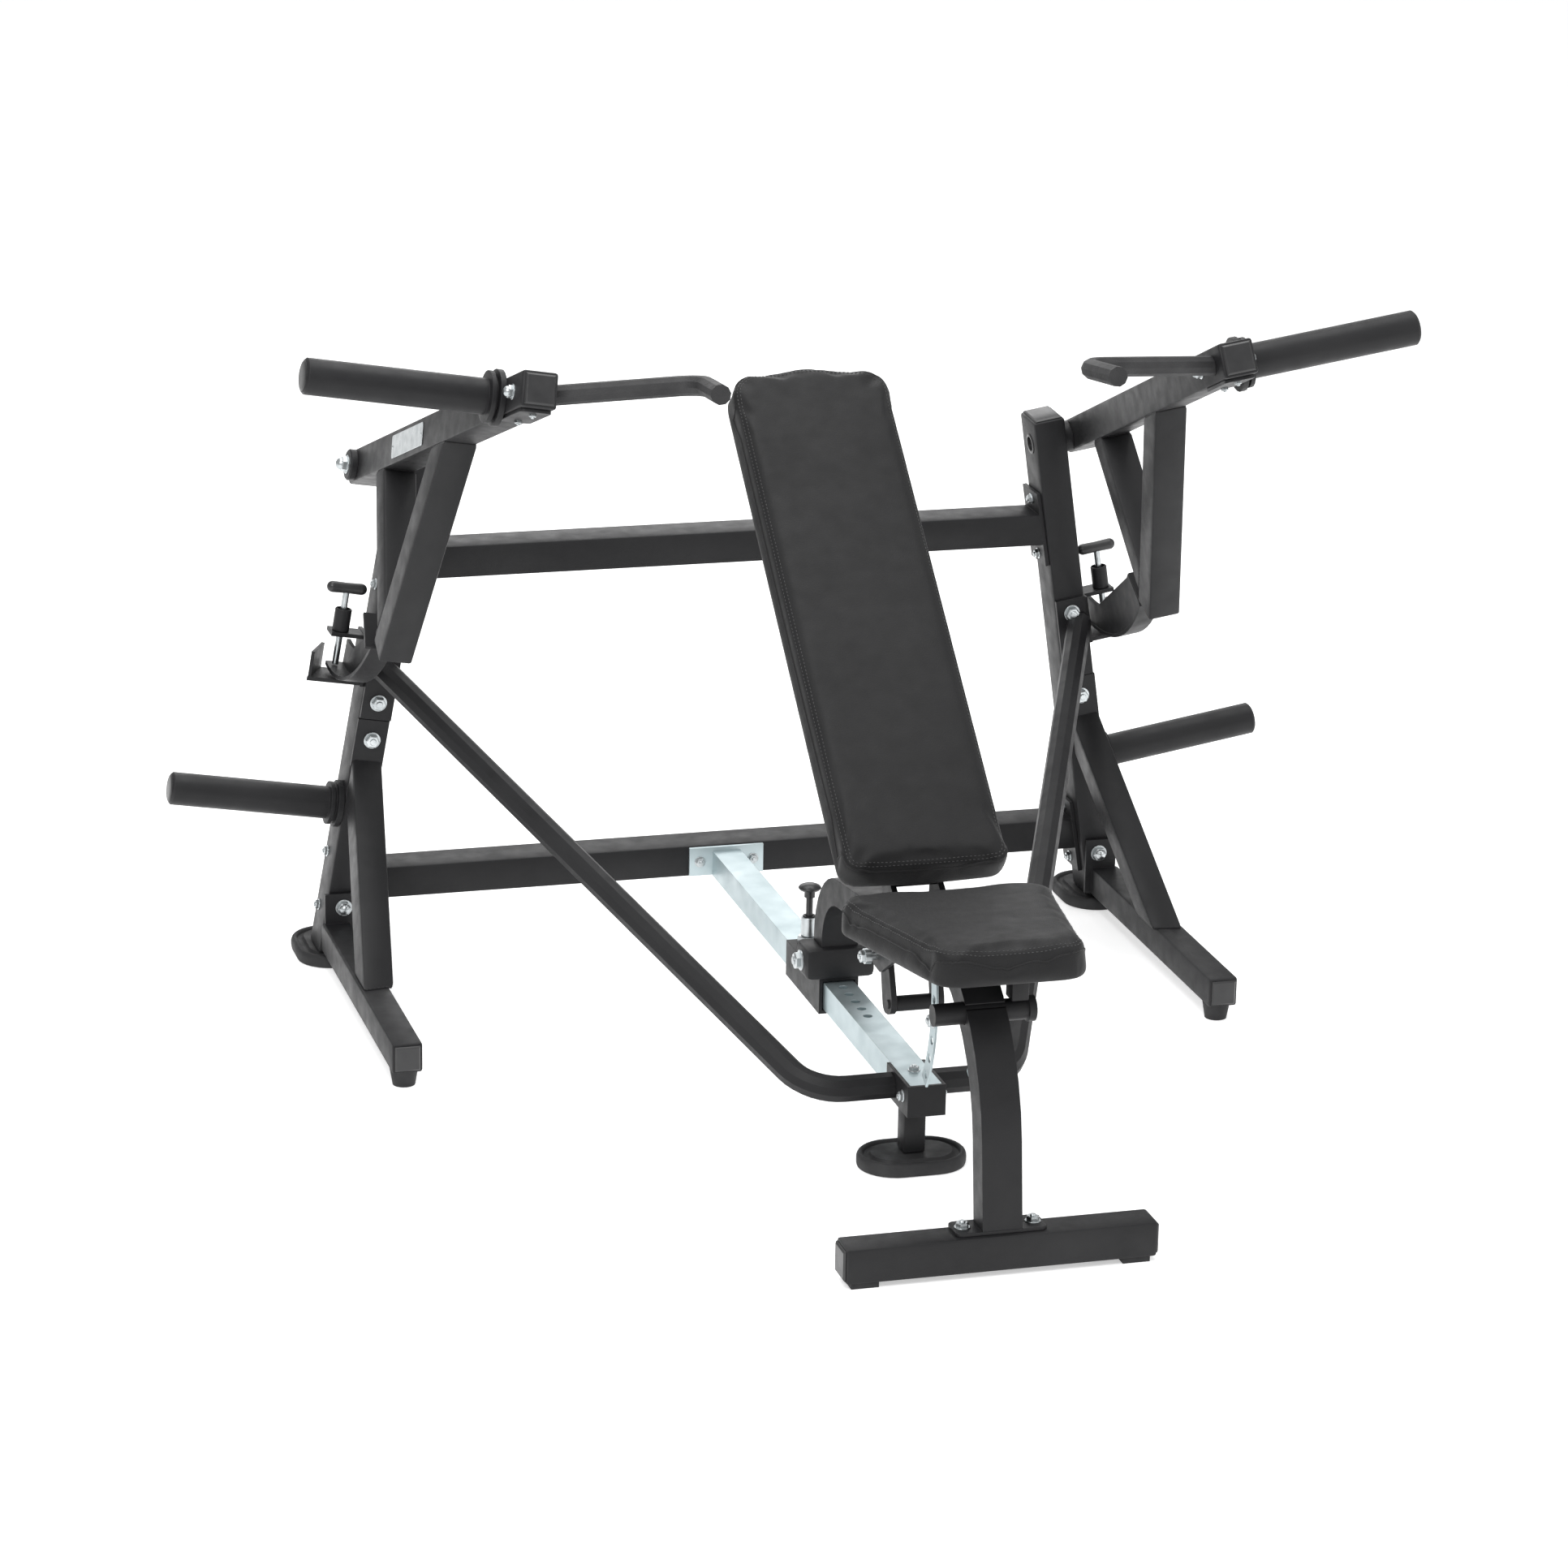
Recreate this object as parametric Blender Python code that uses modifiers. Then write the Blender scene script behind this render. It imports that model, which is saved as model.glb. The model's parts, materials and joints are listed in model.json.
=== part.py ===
"""Plate-loaded leverage chest press: two leaning towers, a lifting arm on each, and a bench on a rail.

Metres, +Z up. X runs across the machine and x = 0 is its middle plane. The front, where the user's
feet are, faces -Y. Lengths "ahead" are measured forward from the datum plane behind the towers.
Each tower lies in a plane that leans inward, with its own axes: x across, y back, z up the plane.
"""

from math import atan2, cos, pi, radians, sin, tan

import bmesh
import bpy
from mathutils import Matrix, Vector

# Driving dimensions -------------------------------------------------------------------------------
DATUM_Y = 0.7841            # y of the datum plane behind the towers
GAP = 0.0003                # play between pieces that touch
LEAN = radians(9.3)         # inward lean of each tower's plane
TOE = radians(1.36)         # inward toe of each lifting arm

TUBE = 0.050                # square tube of arms and braces
POST_DEPTH = 0.070          # long side of the 50 x 70 upright and crossbar tube
UPRIGHT_X = 0.620           # centre of the upright, across the leaned plane
UPRIGHT_TOP = 0.726
UPRIGHT_AHEAD = 0.150       # front face of the upright at the foot of the plane
UPRIGHT_RAKE = 0.046        # how far the front face moves ahead for each metre up

FLOOR_TUBE = 0.045
FLOOR_TUBE_X = 0.624
FLOOR_TUBE_TOP = 0.071
FLOOR_TUBE_END = 0.698
BRACE_FOOT = 0.465          # where the brace's front face meets the floor tube
BRACE_HEAD = 0.238          # and where it reaches the upright, up the plane

UPPER_BAR = (0.135, 0.6375)     # ahead, height of the crossbar's middle
LOWER_BAR = (0.100, 0.1230)
BAR_HEIGHT = 0.050
FLANGE = 0.006
FLANGE_LENGTH = 0.118
FLANGE_RISE = {"upper_crossbar": 0.005, "lower_crossbar": 0.0}  # middle of the flange above the bar's

OVAL = (0.156, 0.106, 0.020)    # rubber foot: length, width, height
BUMPER_HEIGHT = 0.0257

PIVOT = (0.150, 0.685)      # arm pivot: ahead, up the plane
ARM_PITCH = radians(20.65)
ARM_X = 0.684               # middle of the arm's plane
ARM_BEHIND = 0.030          # how far the arm runs behind its pivot
ARM_LENGTH = 0.874
STRUT_FOOT = (0.314, -0.217)    # front strut's front corner at its foot, from the pivot
STRUT_HEAD = (0.475, 0.152)     # and at its head, under the arm
SLEEVE_AHEAD = 0.766        # along the arm, from the pivot
SLEEVE_RADIUS = 0.025
SLEEVE_LENGTH = 0.252
HORN = (0.128, 0.152)       # storage horn: ahead, up the plane
HORN_LENGTH = 0.237
HANDLE_AHEAD = 0.830        # along the arm, from the pivot
GRIP_RADIUS = 0.014

STOP_RADIUS = 0.300         # stop arc's middle line, about the pivot
STOP_DEPTH = 0.045
STOP_WIDTH = 0.033          # flange, across
TRAY_LOW = 0.349            # the pin bracket's tray: its underside, outer edge and fence height
TRAY_OUTER = 0.7335
TRAY_FENCE = 0.046
STOP_PLATE = 0.006
STOP_INSIDE = 0.022         # web's inner face, inboard of the pull pin's line
STOP_X = 0.686
STOP_TAB = 0.262            # inner radius of its end plate
PIN_CLEAR = 0.003           # pull pin's nose above the stop arc's flange
BUFFER_RADIUS = 0.3145      # the buffer's own line

RAIL = (0.045, 0.040)       # width, height
RAIL_TOP = 0.139
RAIL_END = 1.1905
HOLE_PITCH = 0.0309
HOLE_RADIUS = 0.0070
V_TUBE_RADIUS = 0.019
V_CORNER = (0.1454, 1.1235, 0.1160)     # where the two straight runs of a V tube would meet
V_HEAD = (0.5600, 0.1720, 0.4860)

BEAM = (0.055, 0.040)       # bench beam and leg tube: width, thickness
BEAM_FOOT = 0.745           # where the beam stands on the carriage
BEAM_END = 1.341            # where the leg takes over from the beam
HINGE = (1.100, 0.300)      # shared hinge of seat and back: ahead, height
BACK_TILT = radians(40.2)   # back pad above the horizontal
BACK_FOOT = (1.185, 0.452)  # lower edge of the back pad's face
BACK_PAD = (0.247, 0.862, 0.055)
SEAT_REAR = (1.226, 0.439)
SEAT_TILT = radians(4.0)
SEAT_PAD = (0.320, 0.206, 0.330, 0.053)     # rear width, front width, length, thickness
STRIP_RADIUS = 0.2175       # seat adjuster strips, about the hinge
BOLT_RADIUS = 0.006
CROSS_TUBE = (1.425, 0.330)
CROSS_FOOT = (0.430, 0.050, 0.050)
CROSS_FOOT_AHEAD = 1.5175
CROSS_FOOT_BASE = 0.008
CARRIAGE_REAR = 0.589
CARRIAGE_WALL = 0.005
CARRIAGE_PLAY = 0.002
KNOB_AHEAD = 0.602

LEFT, RIGHT = -1, 1
SIDES = {"left": LEFT, "right": RIGHT}


def clear_scene():
    for obj in list(bpy.data.objects):
        bpy.data.objects.remove(obj, do_unlink=True)


def new_collection(name):
    collection = bpy.data.collections.new(name)
    bpy.context.scene.collection.children.link(collection)
    return collection


clear_scene()
PARTS = new_collection("chest_press")
CUTTERS = new_collection("cutters")


def material(name, colour, roughness, metallic):
    made = bpy.data.materials.get(name)
    if made is None:
        made = bpy.data.materials.new(name)
        made.use_nodes = True
        shader = made.node_tree.nodes["Principled BSDF"]
        shader.inputs["Base Color"].default_value = (*colour, 1.0)
        shader.inputs["Roughness"].default_value = roughness
        shader.inputs["Metallic"].default_value = metallic
    return made


def powder_coat():
    return material("powder_coat", (0.032, 0.032, 0.034), 0.55, 0.0)


def upholstery():
    return material("upholstery", (0.040, 0.040, 0.043), 0.62, 0.0)


def rubber():
    return material("rubber", (0.018, 0.018, 0.019), 0.80, 0.0)


def galvanised():
    return material("galvanised", (0.52, 0.57, 0.59), 0.38, 0.9)


def zinc():
    return material("zinc", (0.72, 0.73, 0.74), 0.28, 1.0)


def black_plastic():
    return material("black_plastic", (0.020, 0.020, 0.021), 0.45, 0.0)


# Placing and shaping ------------------------------------------------------------------------------
def ahead(distance):
    """World y of a point this far ahead of the datum."""
    return DATUM_Y - distance


def empty(name, matrix, parent=None):
    obj = bpy.data.objects.new(name, None)
    PARTS.objects.link(obj)
    obj.parent = parent
    obj.matrix_local = matrix
    return obj


def add(name, data, look, matrix, parent=None):
    obj = bpy.data.objects.new(name, data)
    PARTS.objects.link(obj)
    data.materials.append(look)
    obj.parent = parent
    obj.matrix_local = matrix
    return obj


def bevel(obj, width, segments=2):
    modifier = obj.modifiers.new("bevel", "BEVEL")
    modifier.width = width
    modifier.segments = segments
    modifier.limit_method = "ANGLE"
    modifier.angle_limit = radians(40)
    return obj


def box_mesh(name, size):
    mesh = bpy.data.meshes.new(name)
    bm = bmesh.new()
    bmesh.ops.create_cube(bm, size=1.0)
    bmesh.ops.scale(bm, vec=Vector(size), verts=bm.verts)
    bm.to_mesh(mesh)
    bm.free()
    return mesh


def box(name, size, centre, look, parent=None, radius=0.0, turn=Matrix()):
    obj = add(name, box_mesh(name, size), look, Matrix.Translation(centre) @ turn, parent)
    if radius:
        bevel(obj, radius)
    return obj


def cylinder_mesh(name, radius, length, sides=24, top_radius=None):
    mesh = bpy.data.meshes.new(name)
    bm = bmesh.new()
    top = radius if top_radius is None else top_radius
    bmesh.ops.create_cone(bm, cap_ends=True, segments=sides, radius1=radius, radius2=top, depth=length)
    bm.to_mesh(mesh)
    bm.free()
    mesh.shade_smooth()
    mesh.set_sharp_from_angle(angle=radians(40))
    return mesh


def bar(name, start, end, width, depth, look, parent, start_face=None, end_face=None, radius=0.004):
    """A straight tube in its parent's y-z plane, with each end cut along a face given by its normal."""
    start, end = Vector(start), Vector(end)
    axis = (end - start).normalized()
    turn = Matrix.Rotation(atan2(-axis.y, axis.z), 4, "X")
    across = turn @ Vector((0.0, 1.0, 0.0))
    mesh = box_mesh(name, (width, depth, (end - start).length))
    for vertex in mesh.vertices:
        face = end_face if vertex.co.z > 0 else start_face
        if face is not None:
            normal = Vector(face)
            slide = vertex.co.x * normal.x + vertex.co.y * across.dot(normal)
            vertex.co.z -= slide / axis.dot(normal)
    obj = add(name, mesh, look, Matrix.Translation((start + end) / 2) @ turn, parent)
    return bevel(obj, radius)


def fillet(corners, steps=6):
    """Round the corners of an outline: each corner is (point, radius)."""
    points = []
    count = len(corners)
    for i, (corner, radius) in enumerate(corners):
        here = Vector(corner)
        before = (Vector(corners[i - 1][0]) - here).normalized()
        after = (Vector(corners[(i + 1) % count][0]) - here).normalized()
        if radius <= 0.0:
            points.append(here)
            continue
        half = before.angle(after) / 2
        centre = here + (before + after).normalized() * (radius / sin(half))
        first = here + before * (radius / tan(half)) - centre
        last = here + after * (radius / tan(half)) - centre
        swing = first.angle(last)
        for step in range(steps + 1):
            share = step / steps
            mixed = first * sin((1 - share) * swing) + last * sin(share * swing)
            points.append(centre + mixed / sin(swing))
    return points


def plate(name, outline, thickness, look, matrix, parent=None, edge=0.0):
    """A flat outline, extruded about its own plane."""
    curve = bpy.data.curves.new(name, "CURVE")
    curve.dimensions = "2D"
    curve.fill_mode = "BOTH"
    curve.extrude = thickness / 2 - edge
    curve.bevel_depth = edge
    curve.bevel_resolution = 2
    curve.offset = -edge
    spline = curve.splines.new("POLY")
    spline.points.add(len(outline) - 1)
    for point, place in zip(spline.points, outline):
        point.co = (place[0], place[1], 0.0, 1.0)
    spline.use_cyclic_u = True
    return add(name, curve, look, matrix, parent)


def tube(name, route, radius, look, matrix, parent=None, resolution=3):
    """A round tube along a route, with filled ends."""
    curve = bpy.data.curves.new(name, "CURVE")
    curve.dimensions = "3D"
    curve.bevel_depth = radius
    curve.bevel_resolution = resolution
    curve.use_fill_caps = True
    spline = curve.splines.new("POLY")
    spline.points.add(len(route) - 1)
    for point, place in zip(spline.points, route):
        point.co = (*place, 1.0)
    spline.use_smooth = True
    return add(name, curve, look, matrix, parent)


def bent(points, radius, steps=8):
    """An open route with its inner corners rounded."""
    route = [Vector(points[0])]
    for before, here, after in zip(points, points[1:], points[2:]):
        corner = Vector(here)
        back = (Vector(before) - corner).normalized()
        on = (Vector(after) - corner).normalized()
        half = back.angle(on) / 2
        reach = radius / tan(half)
        centre = corner + (back + on).normalized() * (radius / sin(half))
        first = corner + back * reach - centre
        last = corner + on * reach - centre
        swing = first.angle(last)
        for step in range(steps + 1):
            share = step / steps
            mixed = first * sin((1 - share) * swing) + last * sin(share * swing)
            route.append(centre + mixed / sin(swing))
    route.append(Vector(points[-1]))
    return route


def turned(name, profile, look, matrix, parent=None, steps=24):
    """A solid of revolution about its own z, from (radius, z) pairs listed top to bottom."""
    mesh = bpy.data.meshes.new(name)
    bm = bmesh.new()
    chain = [bm.verts.new((radius, 0.0, z)) for radius, z in profile]
    for one, two in zip(chain, chain[1:]):
        bm.edges.new((one, two))
    bm.to_mesh(mesh)
    bm.free()
    obj = add(name, mesh, look, matrix, parent)
    screw = obj.modifiers.new("screw", "SCREW")
    screw.axis = "Z"
    screw.steps = steps
    screw.render_steps = steps
    screw.use_merge_vertices = True
    screw.merge_threshold = 0.00001
    screw.use_smooth_shade = False
    return obj


def meshed(obj):
    """Turn a curve object into a mesh object with welded caps."""
    bpy.context.view_layer.update()
    evaluated = obj.evaluated_get(bpy.context.evaluated_depsgraph_get())
    mesh = bpy.data.meshes.new_from_object(evaluated)
    bm = bmesh.new()
    bm.from_mesh(mesh)
    bmesh.ops.remove_doubles(bm, verts=bm.verts, dist=0.00001)
    bm.to_mesh(mesh)
    bm.free()
    name, parent, matrix = obj.name, obj.parent, obj.matrix_local.copy()
    bpy.data.objects.remove(obj, do_unlink=True)
    made = bpy.data.objects.new(name, mesh)
    PARTS.objects.link(made)
    made.parent = parent
    made.matrix_local = matrix
    return made


def cut(obj, mesh, matrix, parent=None, operation="DIFFERENCE"):
    cutter = bpy.data.objects.new(obj.name + "_cutter", mesh)
    CUTTERS.objects.link(cutter)
    cutter.parent = parent
    cutter.matrix_local = matrix
    cutter.hide_render = True
    cutter.display_type = "WIRE"
    boolean = obj.modifiers.new("cut", "BOOLEAN")
    boolean.operation = operation
    boolean.solver = "EXACT"
    boolean.object = cutter
    return obj


def join(obj, mesh, matrix, parent=None):
    return cut(obj, mesh, matrix, parent, operation="UNION")


def plate_mesh(name, outline, thickness):
    """The mesh of a flat outline, for a cutter or a joined piece."""
    obj = meshed(plate(name, outline, thickness, powder_coat(), Matrix()))
    mesh = obj.data
    bpy.data.objects.remove(obj, do_unlink=True)
    return mesh


def ribbon(centre, thickness):
    """Outline of a band of even thickness along a centre line."""
    left, right = [], []
    for i, point in enumerate(centre):
        before = centre[max(i - 1, 0)]
        after = centre[min(i + 1, len(centre) - 1)]
        along = (Vector(after) - Vector(before)).normalized()
        side = Vector((-along.y, along.x)) * (thickness / 2)
        left.append(Vector(point) + side)
        right.append(Vector(point) - side)
    return left + right[::-1]


def arc(centre, radius, start, end, steps):
    points = []
    for step in range(steps + 1):
        angle = start + (end - start) * step / steps
        points.append(Vector((centre[0] + radius * cos(angle), centre[1] + radius * sin(angle))))
    return points


SIDE_VIEW = Matrix(((0, 0, -1, 0), (-1, 0, 0, 0), (0, 1, 0, 0), (0, 0, 0, 1)))     # (ahead, up) outlines
OUTWARD = {LEFT: Matrix.Rotation(-pi / 2, 4, "Y"), RIGHT: Matrix.Rotation(pi / 2, 4, "Y")}


def tower_matrix(side):
    return Matrix.Translation((0.0, DATUM_Y, 0.0)) @ Matrix.Rotation(-side * LEAN, 4, "Y")


def floor_normal(side):
    """The world's up direction, in a tower's own axes."""
    return Vector((side * sin(LEAN), 0.0, cos(LEAN)))


def plane_height(z, side_x):
    """Height up the leaned plane of a point at world height z and this far out across the plane."""
    return (z - side_x * sin(LEAN)) / cos(LEAN)


def upright_front(height):
    return UPRIGHT_AHEAD + UPRIGHT_RAKE * height


# Towers -------------------------------------------------------------------------------------------
def upright(name, side, tower):
    foot = plane_height(OVAL[2] + GAP, UPRIGHT_X)
    middle = [upright_front(height) - POST_DEPTH / 2 for height in (foot, UPRIGHT_TOP)]
    start = (side * UPRIGHT_X, -middle[0], foot)
    end = (side * UPRIGHT_X, -middle[1], UPRIGHT_TOP)
    obj = bar("upright_" + name, start, end, TUBE, POST_DEPTH, powder_coat(), tower,
              start_face=floor_normal(side))
    bore = cylinder_mesh("pivot_bore", 0.0125, 0.012, sides=20)
    mouth = (side * (UPRIGHT_X - TUBE / 2), -PIVOT[0], PIVOT[1])
    cut(obj, bore, Matrix.Translation(mouth) @ OUTWARD[side], tower)


def floor_tube(name, side):
    rear = upright_front(plane_height(0.120, UPRIGHT_X)) + 0.0015
    length = FLOOR_TUBE_END - rear
    centre = (side * FLOOR_TUBE_X, ahead(rear + length / 2), FLOOR_TUBE_TOP - FLOOR_TUBE / 2)
    obj = box("floor_tube_" + name, (FLOOR_TUBE, length, FLOOR_TUBE), centre, powder_coat(), radius=0.004)
    low, high = 0.030, 0.118
    place = (side * (FLOOR_TUBE_X - 0.008), ahead(rear + FLANGE / 2 - GAP), (low + high) / 2)
    join(obj, box_mesh("rear_plate", (TUBE, FLANGE, high - low)), Matrix.Translation(place))


def bumper_foot(name, side):
    mesh = cylinder_mesh("bumper_foot_" + name, 0.0165, BUMPER_HEIGHT, sides=24, top_radius=0.0210)
    place = (side * FLOOR_TUBE_X, ahead(FLOOR_TUBE_END - 0.028), BUMPER_HEIGHT / 2)
    add("bumper_foot_" + name, mesh, rubber(), Matrix.Translation(place))


def oval_foot(name, centre, turned_by=0.0):
    length, width, height = OVAL
    end = (length - width) / 2
    outline = arc((end, 0.0), width / 2, -pi / 2, pi / 2, 10)
    outline += arc((-end, 0.0), width / 2, pi / 2, 1.5 * pi, 10)
    matrix = Matrix.Translation((*centre, height / 2)) @ Matrix.Rotation(turned_by, 4, "Z")
    plate(name, outline, height, rubber(), matrix, edge=0.005)


def tower_brace(name, side, tower):
    """The diagonal from the floor tube's top, up and back to the upright's front."""
    x = side * (UPRIGHT_X + 0.002)
    low = plane_height(FLOOR_TUBE_TOP + GAP, UPRIGHT_X)
    face = Vector((upright_front(BRACE_HEAD) + FLANGE / 2 + GAP, BRACE_HEAD))
    slope = (Vector((BRACE_FOOT, low)) - face).normalized()
    foot = BRACE_FOOT - TUBE / 2 / -slope.y
    middle = Vector((foot, low))
    head = middle - slope * ((foot - face.x) / slope.x)
    obj = bar("tower_brace_" + name, (x, -middle.x, middle.y), (x, -head.x, head.y), TUBE - 0.004, TUBE,
              powder_coat(), tower, start_face=floor_normal(side), end_face=(0.0, 1.0, UPRIGHT_RAKE))
    centre = (x, -upright_front(0.262) - GAP - FLANGE / 2, 0.262)
    leaning = Matrix.Translation(centre) @ Matrix.Rotation(atan2(UPRIGHT_RAKE, 1.0), 4, "X")
    join(obj, box_mesh("head_plate", (TUBE - 0.002, FLANGE, 0.076)), leaning, tower)


def crossbar(name, place):
    """A 50 x 70 bar between the uprights; its leaning end faces follow their inner faces."""
    distance, height = place
    inner = UPRIGHT_X - TUBE / 2 - FLANGE - GAP
    reach = (inner + FLANGE / 2 - height * sin(LEAN)) / cos(LEAN)
    mesh = box_mesh(name, (2 * reach, POST_DEPTH, BAR_HEIGHT))
    for vertex in mesh.vertices:
        vertex.co.x -= (1 if vertex.co.x > 0 else -1) * vertex.co.z * tan(LEAN)
    obj = add(name, mesh, powder_coat(), Matrix.Translation((0.0, ahead(distance), height)))
    bevel(obj, 0.004)
    for side in SIDES.values():
        middle = plane_height(height, UPRIGHT_X) + FLANGE_RISE[name]
        centre = (side * (inner + FLANGE / 2), -distance, middle)
        flange = box_mesh("flange", (FLANGE, POST_DEPTH, FLANGE_LENGTH))
        join(obj, flange, tower_matrix(side) @ Matrix.Translation(centre))


def sleeve_profile(length, collar_radius):
    """A plate-loading sleeve: flange against the tube, double collar, plain sleeve, soft end."""
    r = SLEEVE_RADIUS
    return [(0.0, length), (r - 0.003, length), (r, length - 0.003), (r, 0.020),
            (collar_radius, 0.019), (collar_radius, 0.013), (r + 0.004, 0.012), (r + 0.004, 0.009),
            (collar_radius + 0.003, 0.008), (collar_radius + 0.003, 0.0), (0.0, 0.0)]


def storage_horn(name, side, tower):
    base = (side * (UPRIGHT_X + TUBE / 2 + GAP), -HORN[0], HORN[1])
    turned("storage_horn_" + name, sleeve_profile(HORN_LENGTH + 0.026, 0.033), powder_coat(),
           Matrix.Translation(base) @ OUTWARD[side], tower)


def pin_place():
    """The pull pin's own line: ahead, and the height of the strap that carries its barrel."""
    top = 0.424
    return upright_front(top) - 0.040, top


def pin_bracket(name, side, tower):
    """A tray on the upright's outer face under the stop arc, and a strap over it with the pin's barrel."""
    distance, top = pin_place()
    inner = UPRIGHT_X + TUBE / 2 + GAP
    skin = 0.001                # keeps the joined plates' faces out of each other's planes
    base = (side * (inner + FLANGE / 2), -distance, (TRAY_LOW + top + skin) / 2)
    obj = box("pin_bracket_" + name, (FLANGE, 0.070, top + skin - TRAY_LOW), base, powder_coat(), tower)

    def raised(name, corners, low, high):
        outline = [(side * corner[0], corner[1] - distance) for corner in corners][::side]
        mesh = plate_mesh(name, outline, high - low)
        join(obj, mesh, Matrix.Translation((0.0, 0.0, (low + high) / 2)), tower)

    root, heel, toe = inner + skin, TRAY_OUTER - 0.029, TRAY_OUTER
    raised("strap", [(root, -0.016), (STOP_X + 0.016, -0.016), (STOP_X + 0.016, 0.022), (root, 0.022)],
           top - FLANGE, top)
    raised("tray", [(root, -0.033), (toe, -0.033), (heel, 0.033), (root, 0.033)],
           TRAY_LOW + skin, TRAY_LOW + skin + FLANGE)
    fence = [Vector((heel - 0.0025, 0.0315)), Vector((toe - 0.004, -0.0315))]
    raised("fence", ribbon(fence, 0.005), TRAY_LOW + 2 * skin, TRAY_LOW + TRAY_FENCE)
    line = Matrix.Translation((side * STOP_X, -distance, top + 0.0125))
    join(obj, cylinder_mesh("pin_barrel", 0.0105, 0.033, sides=20), line, tower)
    cut(obj, cylinder_mesh("barrel_bore", 0.0062, 0.3, sides=16), line, tower)


def pull_pin(name, side, tower):
    """The T-handled pin, which slides up its barrel; it ends just clear of the stop arc's flange."""
    distance, top = pin_place()
    holder = empty("pull_pin_axis_" + name, Matrix.Translation((side * STOP_X, -distance, top)), tower)
    grip = 0.067
    nose = PIVOT[1] - STOP_RADIUS - STOP_DEPTH / 2 + STOP_PLATE + PIN_CLEAR - top
    stem = [(0.0, grip), (0.0050, grip), (0.0050, nose), (0.0, nose)]
    obj = turned("pull_pin_" + name, stem, zinc(), Matrix(), holder, steps=16)
    cross = cylinder_mesh("grip_bar", 0.0062, 0.054, sides=16)
    join(obj, cross, Matrix.Translation((0.0, 0.0, grip)) @ Matrix.Rotation(pi / 2, 4, "Y"), holder)


# Lifting arms -------------------------------------------------------------------------------------
def arm_axes(side, tower):
    place = Matrix.Translation((side * ARM_X, -PIVOT[0], PIVOT[1]))
    return empty("arm_pivot_" + ("left" if side == LEFT else "right"),
                 place @ Matrix.Rotation(-side * TOE, 4, "Z"), tower)


def along_arm(distance, rise=0.0):
    """A point in the arm's plane: this far along its centre line and above it."""
    a = ARM_PITCH
    return Vector((0.0, -(distance * cos(a) - rise * sin(a)), distance * sin(a) + rise * cos(a)))


def arm_tube(name, arm):
    bar("arm_tube_" + name, along_arm(-ARM_BEHIND), along_arm(ARM_LENGTH), TUBE, TUBE, powder_coat(), arm)


def arm_struts(name, arm):
    under = along_arm(0.0, 1.0)
    along = Vector((STRUT_HEAD[0] - STRUT_FOOT[0], STRUT_HEAD[1] - STRUT_FOOT[1])).normalized()
    back = Vector((-along.y, along.x)) * (TUBE / 2)
    foot = Vector(STRUT_FOOT) + back
    reach = Vector(STRUT_HEAD) + back
    below = -TUBE / 2 - GAP
    rise = reach.x * -sin(ARM_PITCH) + reach.y * cos(ARM_PITCH)
    climb = along.x * -sin(ARM_PITCH) + along.y * cos(ARM_PITCH)
    head = reach + along * ((below - rise) / climb)
    bar("arm_front_strut_" + name, (0, -foot.x, foot.y), (0, -head.x, head.y), TUBE, TUBE, powder_coat(), arm,
        end_face=under)
    facing = Vector((0.0, along.y, along.x))
    low = foot + along * 0.046 + back * (1 + GAP / (TUBE / 2))
    top = along_arm(0.151, below)
    bar("arm_rear_strut_" + name, (0, -low.x, low.y), top, TUBE, TUBE * 0.9, powder_coat(), arm,
        start_face=facing, end_face=under)


def arm_sleeve(name, side, arm):
    base = along_arm(SLEEVE_AHEAD)
    base.x = side * (TUBE / 2 + GAP)
    turned("arm_sleeve_" + name, sleeve_profile(SLEEVE_LENGTH + 0.020, 0.036), powder_coat(),
           Matrix.Translation(base) @ OUTWARD[side], arm)


def handle(name, side, arm):
    """The grip: out of the arm's inner face toward the user, then bent forward."""
    root = along_arm(HANDLE_AHEAD)
    root.x = -side * TUBE / 2
    corner = root + Vector((-side * 0.198, -0.042, 0.048))
    tip = corner + Vector((side * 0.0126, -0.121, 0.012))
    inside = root - (corner - root).normalized() * 0.010
    route = bent([inside, corner, tip], 0.040)
    obj = meshed(tube("handle_" + name, route, GRIP_RADIUS, rubber(), Matrix(), arm))
    cut(obj, box_mesh("arm_room", (TUBE + 2 * GAP, 0.2, 0.2)), Matrix.Translation((0.0, root.y, root.z)), arm)


def pivot_hub(name, side, arm):
    """Bearing boss between the upright and the arm."""
    room = ARM_X - TUBE / 2 - (UPRIGHT_X + TUBE / 2) - 2 * GAP
    mesh = cylinder_mesh("pivot_hub_" + name, 0.024, room - 0.001, sides=28)
    place = Matrix.Translation((-side * (TUBE / 2 + GAP + (room - 0.001) / 2), 0.0, 0.0))
    add("pivot_hub_" + name, mesh, powder_coat(), place @ Matrix.Rotation(pi / 2, 4, "Y"), arm)


def ring_sector(outer, inner, start, end, steps=12):
    return arc((0, 0), outer, start, end, steps) + arc((0, 0), inner, end, start, steps)


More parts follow.
